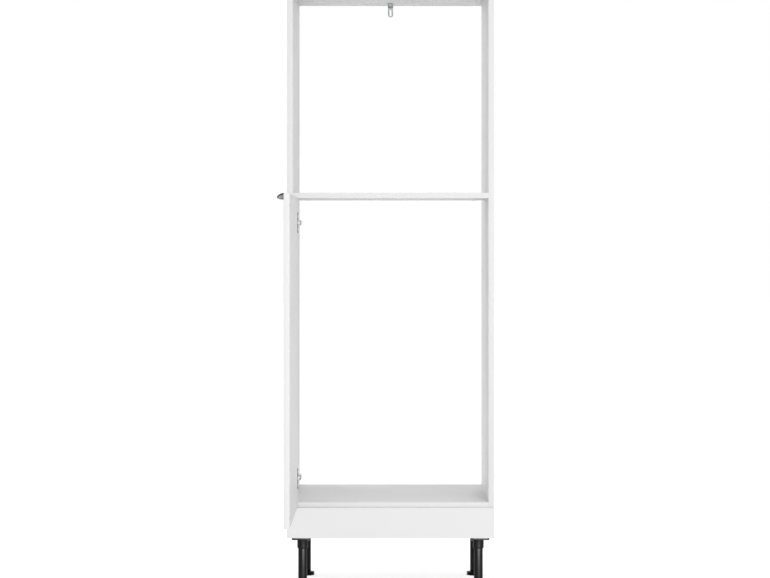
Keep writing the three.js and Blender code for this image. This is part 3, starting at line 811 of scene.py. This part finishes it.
low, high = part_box("wall_bracket")
# Painted shade: above the fold's level the base colour blends towards a dark grey, so the fold and the
# lying leg read as shaded.
zinc_with_painted_shade, tree, main, place = finish("zinc_dulled_at_the_fold", 0.5, 1.0)
height = node(tree, "ShaderNodeSeparateXYZ", {"Vector": place}).outputs["Z"]
painted_shade_from, painted_shade_to = high.z - 4.5 * strip_thickness, high.z - 2.5 * strip_thickness
painted_shade_share = remap(tree, height, painted_shade_from, painted_shade_to, 0.0, 0.75)
blotched = clouds(tree, place, 320, 4.0, roughness=0.6)
plating = blend(tree, blotched, zinc_colour, (0.62, 0.625, 0.63, 1))
coloured(tree, main, painted_shade_share, plating, blend(tree, blotched, grey(0.30, 0.002), grey(0.18, 0.002)))
bumped(tree, main, noise(tree, place, 3000, 2.0), 0.08, 0.00008)

half_width = (high.x - low.x) / 2
round_level = low.z + half_width
rear_plate = high.y - strip_thickness
outline = bent_strip_outline(
    high.y, high.z, low.y - high.y, round_level - high.z, strip_thickness, bracket_bend,
)
bracket = raised("wall_bracket", outline, low.x, high.x, along_x, zinc_with_painted_shade)
round_place = (0, rear_plate, round_level)
joined(bracket, bar(round_place, half_width, 0, strip_thickness, rearwards, leg_sides, zinc_with_painted_shade))
slot_low = low.z + slot_end_distance
slot_outline = rounded_outline(
    -slot_radius, slot_radius, slot_low, slot_low + slot_length, slot_radius * slot_corner_share,
    slot_steps,
)
cut(bracket, raised("slot", slot_outline, rear_plate - overrun, high.y + overrun, along_y, zinc_with_painted_shade))
for screw in bracket_screws:
    seat = Vector((0, middle_of(screw).y, high.z))
    hole = bar(seat, bracket_shank + fit_gap, -3 * overrun, overrun, upwards, bore_sides, zinc_with_painted_shade)
    cut(bracket, hole)
installed(smooth(eased(bracket, strip_ease)), carcass, "zinc_plate", "wall_bracket")


# Bracket screws: zinc-plated pan-head chipboard screws with a cross recess, driven up through
# the lying leg into the top panel.
screw_sides = 40
recess_length_share = 0.55
recess_width_share = 0.11
recess_depth_share = 0.42
recess_foot_length_share = 0.45
recess_foot_width_share = 0.78
pan_head = [
    (0, 0.0022), (0.0014, 0.00215), (0.0026, 0.0018), (0.0035, 0.0012), (0.0039, 0.0006),
    (0.0040, 0.0002), (0.0040, 0),
]


def screw_piece(name, head_profile, shank_radius, length, sides=screw_sides):
    """A zinc-plated screw whose head faces up the Z axis from its seat at zero, with a cross recess."""
    shank = [(shank_radius, 0), (shank_radius, -length + shank_radius), (0, -length)]
    piece = keep(name, turned_form(head_profile + shank, sides, (0, 0, 0)), zinc)
    head_radius = max(radius for radius, level in head_profile)
    top = head_profile[0][1]
    half_length, half_width = head_radius * recess_length_share, head_radius * recess_width_share
    for turn in (0, math.pi / 2):
        recess = bmesh.new()
        bmesh.ops.create_cube(recess, size=1)
        for vertex in recess.verts:
            length, width, level = half_length, half_width, top + overrun
            if vertex.co.z < 0:
                length, width = length * recess_foot_length_share, width * recess_foot_width_share
                level = top - head_radius * recess_depth_share
            vertex.co = math.copysign(length, vertex.co.x), math.copysign(width, vertex.co.y), level
        recess.transform(Matrix.Rotation(turn, 4, "Z"))
        cut(piece, keep("wing", recess, zinc))
    return smooth(piece)


for screw in bracket_screws:
    low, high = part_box(screw)
    head_height = pan_head[0][1]
    piece = screw_piece(screw, pan_head, bracket_shank, high.z - low.z - head_height)
    seat = Vector((0, (low.y + high.y) / 2, low.z + head_height))
    piece.data.transform(Matrix.Translation(seat) @ Matrix.Rotation(math.pi, 4, "X"))
    installed(piece, carcass, "zinc_plate", screw)


# Hinge mounting plates: nickel-plated die-cast plates, each with two wings screwed to the inner
# face of the left side panel and a raised rail that the arm clips on.
base_thickness = 0.002
base_reach = 0.009
rail_reach = 0.0059
wing_back = 0.0485
wing_end = 0.0685
rail_back = 0.0425
rail_end = 0.0805
base_corner = 0.003
wing_corner = 0.0045
rail_corner = 0.0012
metal_ease = 0.0003
hinge_names = ("hinge_upper", "hinge_lower")
hinge_levels = {hinge: middle_of(f"{hinge}_mounting_plate").z for hinge in hinge_names}

for hinge, level in hinge_levels.items():
    plate_name = f"{hinge}_mounting_plate"
    low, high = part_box(plate_name)
    base_top = low.x + base_thickness
    base_outline = rounded_outline(low.y, high.y, level - base_reach, level + base_reach, base_corner)
    wing_outline = rounded_outline(wing_back, wing_end, low.z, high.z, wing_corner)
    rail_outline = rounded_outline(rail_back, rail_end, level - rail_reach, level + rail_reach, rail_corner)
    plate = raised(plate_name, base_outline, low.x, base_top, along_x, nickel)
    joined(plate, raised("wings", wing_outline, low.x, base_top, along_x, nickel))
    joined(plate, raised("rail", rail_outline, low.x, high.x, along_x, nickel))
    installed(smooth(eased(plate, metal_ease)), carcass, "nickel_plate", plate_name)


# Hinge arms: pressed from nickel-plated sheet into an open channel over the rail. The screws on
# its back set the door sideways and clamp it in depth.
sheet_thickness = 0.0012
arm_corner = 0.0016
arm_ease = 0.00015
web_start = 0.0295
pin_bore = 0.0015
outer_arm_pin = (-0.269, 0.028)
inner_arm_pin = (-0.2641, 0.0355)

for hinge, level in hinge_levels.items():
    arm_name = f"{hinge}_arm"
    low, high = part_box(arm_name)
    outline = rounded_outline(low.x, high.x, low.z, high.z, arm_corner)
    arm = raised(arm_name, outline, low.y, high.y, along_y, nickel)
    channel_outline = rounded_outline(
        low.x - 3 * overrun, high.x - sheet_thickness, low.z + sheet_thickness, high.z - sheet_thickness,
        arm_corner - sheet_thickness * 0.6,
    )
    channel = raised("channel", channel_outline, low.y - overrun, high.y + overrun, along_y, nickel)
    nose_low = (low.x - overrun, low.y - overrun, low.z + sheet_thickness)
    nose_high = (high.x + overrun, web_start, high.z - sheet_thickness)
    pin_run = high.z - low.z
    pins = [
        bar((x, y, (low.z + high.z) / 2), pin_bore, -pin_run, pin_run, upwards, bore_sides, nickel)
        for x, y in (outer_arm_pin, inner_arm_pin)
    ]
    cut(arm, channel, keep("nose", block_form(nose_low, nose_high), nickel), *pins)
    installed(smooth(eased(arm, arm_ease)), carcass, "nickel_plate", arm_name)


# Hinge links: bent nickel-plated strips between the arm and the cup. The outer link is a pair of
# straps, the inner link is one wider strip; both turn on riveted pins.
door_low, door_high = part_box("door")
door_face_x = door_high.x
door_edge_y = door_high.y
pin_radius = 0.0012
pin_reach = 0.0079
eye_radius = 0.0021
bend_radius = 0.0022
link_ease = 0.00012
strap_reach = 0.0058
strap_thickness = 0.0014
strap_width = 0.0024
inner_reach = 0.0036
inner_width = 0.0018
outer_bow = 0.007
outer_shoulder = 0.0015
outer_heel = 0.006
inner_pass = 0.0025
inner_mouth_lead = 0.0096
inner_bow = 0.006
inner_turn_back = 0.002
inner_heel = 0.007
eye_sides = 28
pin_sides = 24
outer_cup_pin = (door_face_x - 0.004, door_edge_y - 0.011)
inner_cup_eye = (door_face_x - 0.0075, door_edge_y - 0.012)


def outer_link_path():
    start, end = Vector(outer_cup_pin), Vector(outer_arm_pin)
    along = (end - start).normalized()
    out = Vector((along.y, -along.x)) * outer_bow
    return [start, start + along * outer_shoulder + out, end - along * outer_heel + out, end]


def inner_link_path():
    bow_x = door_face_x + inner_bow
    return [Vector(point) for point in (
        inner_cup_eye, (door_face_x + inner_pass, door_edge_y - inner_mouth_lead),
        (bow_x, door_edge_y + inner_turn_back), (bow_x, inner_arm_pin[1] - inner_heel), inner_arm_pin,
    )]


def softened(path, radius, steps=7):
    """A path with its corners rounded."""
    points = [path[0]]
    for before, corner, after in zip(path, path[1:], path[2:]):
        start = corner + (before - corner).normalized() * min(radius, (before - corner).length * 0.45)
        end = corner + (after - corner).normalized() * min(radius, (after - corner).length * 0.45)
        for step in range(steps + 1):
            share = step / steps
            points.append(start.lerp(corner, share).lerp(corner.lerp(end, share), share))
    return points + [path[-1]]


def strip_outline(path, width):
    """The outline of flat strip metal that follows a path."""
    left, right = [], []
    for step, point in enumerate(path):
        before, after = path[max(step - 1, 0)], path[min(step + 1, len(path) - 1)]
        along = (after - before).normalized()
        side = Vector((-along.y, along.x)) * width / 2
        left.append(point + side)
        right.append(point - side)
    return [tuple(point) for point in left + right[::-1]]


def link(name, path, width, spans, pins, body):
    """One link: its strips with an eye at both ends, and the pins that are riveted in it."""
    outline = strip_outline(softened(path, bend_radius), width)
    piece = None
    for low, high in spans:
        strip = raised(name, outline, low, high, along_z, nickel)
        for end in (path[0], path[-1]):
            joined(strip, bar((*end, 0), eye_radius, low, high, upwards, eye_sides, nickel))
        eased(strip, link_ease)
        piece = joined(piece, strip) if piece else strip
    for place, low, high in pins:
        joined(piece, bar((*place, 0), pin_radius, low, high, upwards, pin_sides, nickel))
    installed(smooth(piece), body, "nickel_plate", name)


for hinge, level in hinge_levels.items():
    straps = [
        (level - strap_reach, level - strap_reach + strap_thickness),
        (level + strap_reach - strap_thickness, level + strap_reach),
    ]
    stub_end = strap_reach - strap_thickness * 0.8
    stubs = [
        (outer_cup_pin, level - pin_reach, level - stub_end),
        (outer_cup_pin, level + stub_end, level + pin_reach),
        (outer_arm_pin, level - pin_reach, level + pin_reach),
    ]
    inner_span = [(level - inner_reach, level + inner_reach)]
    inner_pin = [(inner_arm_pin, level - pin_reach, level + pin_reach)]
    link(f"{hinge}_outer_link", outer_link_path(), strap_width, straps, stubs, "hinge_outer_links")
    link(f"{hinge}_inner_link", inner_link_path(), inner_width, inner_span, inner_pin, "hinge_inner_links")


# Door: one 16 mm melamine-faced board, banded on all four edges, bored for the two hinge cups and
# for the screws of the handle.
cup_radius = 0.0174
cup_depth = 0.0115
cup_inset = 0.0225
cup_sides = 72
handle_screws = ("handle_screw_inner", "handle_screw_outer")
handle_shank = 0.002
cup_centres = [Vector((door_face_x, door_edge_y - cup_inset, level)) for level in hinge_levels.values()]

bores = [
    bar(centre, cup_radius + fit_gap, -cup_depth - fit_gap, overrun, rightwards, cup_sides)
    for centre in cup_centres
]
for screw in handle_screws:
    middle = middle_of(screw)
    centre = Vector((door_face_x, middle.y, middle.z))
    far_side = door_low.x - door_face_x - overrun
    bores.append(bar(centre, handle_shank + fit_gap, far_side, overrun, rightwards, hidden_sides))
board("door_board", "door", x_axis, edges_across(y_axis, z_axis), raw_upright, "door", bores)


# Hinge cups: deep-drawn nickel-plated steel, pressed into the door. A flat flange with two ears
# takes the screws, and two lugs inside carry the links' pins. Their nickel is coloured dark as
# painted shade along the edges of the ears.
rim_radius = 0.018
rim_thickness = 0.001
cup_wall = 0.0011
cup_round = 0.0022
cup_bend_steps = 5
ear_middle_y = door_edge_y - 0.028
ear_half_width = 0.006
ear_reach = 0.030
ear_corner = 0.0055
ear_hole_reach = 0.026
ear_hole_radius = 0.0022
ear_ease = 0.0002
lug_reach = 0.0076
lug_thickness = 0.0012
lug_end = 0.018
# Painted shade: the cups and the screws in their ears take a nickel colour dark enough to stand for the
# shade along the ears' edges.
painted_shade_nickel = plated_steel("dark_nickel_plating", (0.20, 0.198, 0.195, 1), 0.34, 180, 0.1)

inner_radius, inner_round = cup_radius - cup_wall, cup_round - cup_wall
outer_bend = bend_arc(cup_radius, -cup_depth, -1, 1, cup_round, cup_bend_steps)
inner_bend = bend_arc(inner_radius, cup_wall - cup_depth, -1, 1, inner_round, cup_bend_steps)
bowl_profile = [
    (0, -cup_depth), *outer_bend, (cup_radius, 0), (rim_radius, 0), (rim_radius, rim_thickness * 0.7),
    (rim_radius - rim_thickness * 0.3, rim_thickness), (inner_radius + 0.0004, rim_thickness),
    (inner_radius, rim_thickness * 0.6), *inner_bend[::-1], (0, cup_wall - cup_depth),
]

for (hinge, level), centre in zip(hinge_levels.items(), cup_centres):
    cup_name = f"{hinge}_cup"
    bowl = keep(cup_name, turned_form(bowl_profile, cup_sides, centre, rightwards), painted_shade_nickel)
    ear_outline = rounded_outline(
        ear_middle_y - ear_half_width, ear_middle_y + ear_half_width,
        level - ear_reach, level + ear_reach, ear_corner,
    )
    flange = raised("flange", ear_outline, door_face_x, door_face_x + rim_thickness, along_x, painted_shade_nickel)
    eased(flange, ear_ease)
    cut(flange, bar(centre, inner_radius, -overrun, 2 * overrun, rightwards, cup_sides, painted_shade_nickel))
    for side in (-1, 1):
        hole = Vector((door_face_x, ear_middle_y, level + side * ear_hole_reach))
        cut(flange, bar(hole, ear_hole_radius, -overrun, 2 * overrun, rightwards, bore_sides, painted_shade_nickel))
    joined(bowl, flange)
    for side in (-1, 1):
        lug_low, lug_high = sorted((level + side * lug_reach, level + side * (lug_reach - lug_thickness)))
        lug = keep("lug", block_form(
            (door_face_x - cup_depth + cup_wall / 2, door_edge_y - lug_end, lug_low),
            (door_face_x - fit_gap, door_edge_y, lug_high),
        ), painted_shade_nickel)
        fill_radius = cup_radius - cup_wall / 2
        fill = bar(centre, fill_radius, -cup_depth, overrun, rightwards, cup_sides, painted_shade_nickel)
        joined(bowl, cut(lug, fill, operation="INTERSECT"))
    bore_reach = lug_reach + overrun
    pin_place = (*outer_cup_pin, level)
    cut(bowl, bar(pin_place, pin_bore, -bore_reach, bore_reach, upwards, bore_sides, painted_shade_nickel))
    installed(smooth(bowl, 38), "door", "nickel_plate", cup_name)


# Door bumpers: two small clear silicone domes stuck on the inner face near the free edge. They
# meet the front edge of the right side panel when the door closes.
bumper_radius = 0.0045
bumper_height = 0.0015
bumper_inset = 0.008
bumper_level_inset = 0.030
bumper_sides = 32

silicone, tree, main, place = finish("clear_silicone", 0.3)
coloured(tree, main, clouds(tree, place, 320, 3.0), (0.72, 0.73, 0.72, 1), (0.82, 0.83, 0.82, 1))
main.inputs["Transmission Weight"].default_value = 0.55
main.inputs["IOR"].default_value = 1.41
bumped(tree, main, noise(tree, place, 900, 2.0), 0.08)

dome_profile = [(0, 0), (bumper_radius, 0)] + [
    (bumper_radius * math.cos(a), bumper_height * math.sin(a))
    for a in [math.pi / 2 * step / 6 for step in range(1, 6)]
] + [(0, bumper_height)]
dome = keep("bumper", turned_form(dome_profile, bumper_sides, (0, 0, 0)), silicone)
facing_right = (0, math.pi / 2, 0)
bumper_places = [
    ((door_high.x, door_low.y + bumper_inset, z), facing_right)
    for z in (door_low.z + bumper_level_inset, door_high.z - bumper_level_inset)
]
bumpers = set_out("door_bumpers", dome, bumper_places, silicone)
bpy.data.objects.remove(dome)
installed(smooth(bumpers, 35), "door", "white_board")


# Handle: an extruded aluminium shell in dark graphite lacquer at the door's top free corner. It
# opens downwards for the fingers, and grey plastic caps close its ends.
shell_wall = 0.0050
back_thickness = 0.0016
lip_thickness = 0.0034
tip_drop = 0.010
arc_steps = 20
arc_turn = math.radians(65)
cap_thickness = 0.002
cap_reveal = 0.0002
handle_ease = 0.0003
end_cap_ease = 0.0002
boss_radius = 0.0038
boss_length = 0.009
boss_bore = 0.0081
leftwards = (-1, 0, 0)

graphite, tree, main, place = finish("dark_graphite_lacquer", 0.36, 0.2)
brushed = noise(tree, stretched(tree, place, (700, 8, 700)), 1.0, 3.0)
coloured(tree, main, remap(tree, brushed, 0.3, 0.7), grey(0.036, 0.002), grey(0.058, 0.002))
bumped(tree, main, brushed, 0.12)
cap_grey, tree, main, place = finish("grey_end_cap_plastic", 0.5)
coloured(tree, main, clouds(tree, place, 120, 3.0), grey(0.34, 0.002), grey(0.39, 0.002))
bumped(tree, main, noise(tree, place, 2200, 2.0), 0.15)


def arc(proud, drop, start_proud, start_level):
    """The bow of the handle's top, level at the door and steep at its tip."""
    angles = [arc_turn * step / arc_steps for step in range(arc_steps + 1)]
    wide, tall = proud / math.sin(arc_turn), drop / (1 - math.cos(arc_turn))
    return [
        (start_proud + wide * math.sin(a), start_level - tall * (1 - math.cos(a))) for a in angles
    ]


def on_door(proud, level, along):
    return (door_low.x - proud, along, level)


low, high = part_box("door_handle")
top, bottom = high.z, low.z
proud = high.x - low.x
tip_level = top - tip_drop
hollow_proud = proud - back_thickness - lip_thickness
hollow_drop = tip_drop - shell_wall
shell_outline = arc(proud, tip_drop, 0, top) + [
    (proud - lip_thickness * 0.25, tip_level - shell_wall * 0.8),
    (proud - lip_thickness, tip_level - shell_wall), (0, bottom),
]
hollow_outline = arc(hollow_proud, hollow_drop, back_thickness, top - shell_wall) + [
    (proud - lip_thickness, bottom - overrun), (back_thickness, bottom - overrun),
]
cap_outline = arc(proud - lip_thickness, hollow_drop, fit_gap, top - shell_wall) + [
    (proud - lip_thickness - fit_gap, tip_level - shell_wall), (fit_gap, bottom),
]
shell = raised("door_handle", shell_outline, low.y + cap_reveal, high.y - cap_reveal, on_door, graphite)
cut(shell, raised("hollow", hollow_outline, low.y - overrun, high.y + overrun, on_door, graphite))
for screw in handle_screws:
    middle = middle_of(screw)
    centre = Vector((door_low.x, middle.y, middle.z))
    joined(shell, bar(centre, boss_radius, 0, boss_length, leftwards, bore_sides, graphite))
    cut(shell, bar(centre, handle_shank + fit_gap, -overrun, boss_bore, leftwards, bore_sides, graphite))
installed(smooth(eased(shell, handle_ease), 35), "door", "handle_metal", "door_handle")

for cap_name, start in (("near", low.y), ("far", high.y - cap_thickness)):
    cap_name = f"handle_{cap_name}_end_cap"
    end_cap = raised(cap_name, cap_outline, start, start + cap_thickness, on_door, cap_grey)
    installed(smooth(eased(end_cap, end_cap_ease), 35), "door", "handle_metal")


# Handle screws: zinc-plated machine screws through the door from its inner face, with flat pan
# heads and cross recesses.
flat_head = [
    (0, 0.0024), (0.0030, 0.0024), (0.0038, 0.0021), (0.0042, 0.0014), (0.0042, 0.0002), (0.0042, 0),
]
for screw in handle_screws:
    middle = middle_of(screw)
    piece = screw_piece(screw, flat_head, handle_shank, door_face_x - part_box(screw)[0].x)
    seat = Vector((door_face_x, middle.y, middle.z))
    piece.data.transform(Matrix.Translation(seat) @ Matrix.Rotation(math.pi / 2, 4, "Y"))
    installed(piece, "door", "zinc_plate", screw)


# Small screws: low-headed chipboard screws with cross recesses in the leg sockets, the fascia
# angles, the hinge plates and the ears of the cups. Two more on each hinge arm adjust the door.
socket_screw_reach = 0.0285
socket_screw_outward = 0.0245
socket_screw_inward = 0.0185
wing_screw_reach = 0.019
wing_middle = (wing_back + wing_end) / 2
adjuster_places = (0.0425, 0.0715)
small_shank = 0.0016
small_shank_length = 0.0008
small_screw_sides = 28
low_head = [(0, 0.0011), (0.0020, 0.0011), (0.0031, 0.0008), (0.0036, 0.0003), (0.0036, 0)]
facing_up = (0, 0, 0)
facing_down = (math.pi, 0, 0)
facing_rear = (-math.pi / 2, 0, 0)

carcass_places = []
for leg in legs:
    socket_plate_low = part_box(f"{leg.name}_tube")[1].z
    for reach in (-socket_screw_reach, socket_screw_reach):
        for outward in (socket_screw_outward, -socket_screw_inward):
            x = leg.axis[0] + leg.side * outward
            carcass_places.append(((x, leg.axis[1] + reach, socket_plate_low), facing_down))
for side_name, side in left_and_right:
    low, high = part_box(f"fascia_angle_{side_name}")
    centre_x = (low.x + high.x) / 2
    distance = strip_thickness + (high.y - low.y - strip_thickness) / 2
    carcass_places.append(((centre_x, low.y + strip_thickness, low.z + distance), facing_rear))
    carcass_places.append(((centre_x, low.y + distance, low.z + strip_thickness), facing_up))

plate_places, cup_places = [], []
for hinge, level in hinge_levels.items():
    base_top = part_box(f"{hinge}_mounting_plate")[0].x + base_thickness
    arm_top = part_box(f"{hinge}_arm")[1].x
    for side in (-1, 1):
        plate_places.append(((base_top, wing_middle, level + side * wing_screw_reach), facing_right))
        ear_place = (door_face_x + rim_thickness, ear_middle_y, level + side * ear_hole_reach)
        cup_places.append((ear_place, facing_right))
    for y in adjuster_places:
        plate_places.append(((arm_top, y, level), facing_right))

small_screw = screw_piece("small_screw", low_head, small_shank, small_shank_length, small_screw_sides)
for name, places, plating, seed, body, slot in (
    ("small_screws_of_carcass", carcass_places, zinc, 11, carcass, "zinc_plate"),
    ("screws_of_hinge_plates", plate_places, nickel, 23, carcass, "nickel_plate"),
    # the screws in the cups' ears take the same darkened nickel, painted shade like the cups
    ("screws_of_hinge_cups", cup_places, painted_shade_nickel, 37, "door", "nickel_plate"),
):
    screws = set_out(name, small_screw, places, plating, largest_twist=math.pi / 2, seed=seed)
    installed(smooth(screws), body, slot)
bpy.data.objects.remove(small_screw)


# Studio: a plain white floor that still takes the soft shadow, and a white surround. A large soft
# lamp stands far in front, a smaller one in front on the right and a weak one behind on the left.
floor_reach = 40
floor_glow = 0.66
surround_light = 0.64
white = grey(1)


def looked_at(tree):
    """One where the camera, a gloss or a clear piece looks at the surface, otherwise nought."""
    path = node(tree, "ShaderNodeLightPath").outputs
    seen = computed(tree, "MAXIMUM", path["Is Camera Ray"], path["Is Glossy Ray"])
    return computed(tree, "MAXIMUM", seen, path["Is Transmission Ray"])


floor_form = bmesh.new()
bmesh.ops.create_grid(floor_form, x_segments=1, y_segments=1, size=floor_reach)
floor_material = bpy.data.materials.new("studio_floor")
floor_material.use_nodes = True
tree = floor_material.node_tree
tree.nodes.clear()
place = node(tree, "ShaderNodeTexCoord").outputs["Object"]
painted = blend(tree, clouds(tree, place, 1.2, 3.0, 0.2), grey(0.62), grey(0.64))
matt = node(tree, "ShaderNodeBsdfDiffuse", {"Color": painted})
glow_strength = computed(tree, "MULTIPLY", looked_at(tree), floor_glow)
glow = node(tree, "ShaderNodeEmission", {"Color": white, "Strength": glow_strength})
both = node(tree, "ShaderNodeAddShader", {0: matt.outputs[0], 1: glow.outputs[0]})
node(tree, "ShaderNodeOutputMaterial", {"Surface": both.outputs[0]})
keep("studio_floor", floor_form, floor_material)

world = bpy.data.worlds.new("studio_surround")
bpy.context.scene.world = world
world.use_nodes = True
tree = world.node_tree
tree.nodes.clear()
strength = remap(tree, looked_at(tree), 0.0, 1.0, surround_light, 1.0)
surround = node(tree, "ShaderNodeBackground", {"Color": white, "Strength": strength})
node(tree, "ShaderNodeOutputWorld", {"Surface": surround.outputs[0]})


def soft_lamp(name, *, centre, target, width, height, power):
    """A rectangular soft box, aimed at a point, that lights the surfaces but isn't seen in them."""
    lamp_data = bpy.data.lights.new(name, "AREA")
    lamp_data.shape = "RECTANGLE"
    lamp_data.size = width
    lamp_data.size_y = height
    lamp_data.energy = power
    lamp = in_scene(name, lamp_data)
    lamp.location = centre
    lamp.rotation_euler = (Vector(target) - Vector(centre)).to_track_quat("-Z", "Y").to_euler()
    lamp.visible_camera = False
    lamp.visible_glossy = False
    return lamp


soft_lamp("front_lamp", centre=(1.2, -9.0, 0.7), target=(0, 0, 0.8), width=2.6, height=2.6, power=280)
soft_lamp("right_lamp", centre=(1.1, -3.5, 1.1), target=(0.2, 0, 0.9), width=1.2, height=1.2, power=27)
soft_lamp("rear_lamp", centre=(-3.5, 2.6, 1.6), target=(0, 0, 0.9), width=2.0, height=2.0, power=30)

# A low, wide lamp lights the gloss of the two front legs alone, and draws a pale streak down each.
leg_lamp = soft_lamp(
    "leg_lamp", centre=(0.9, -2.9, 0.19), target=(0, 0, 0.08), width=2.2, height=0.36, power=680,
)
leg_lamp.visible_glossy = True
leg_lamp.visible_diffuse = False
front_legs = bpy.data.collections.new("front_legs")
for piece in bpy.context.scene.objects:
    if piece.name.startswith("leg_front"):
        front_legs.objects.link(piece)
leg_lamp.light_linking.receiver_collection = front_legs
bpy.context.scene.view_settings.view_transform = "Standard"
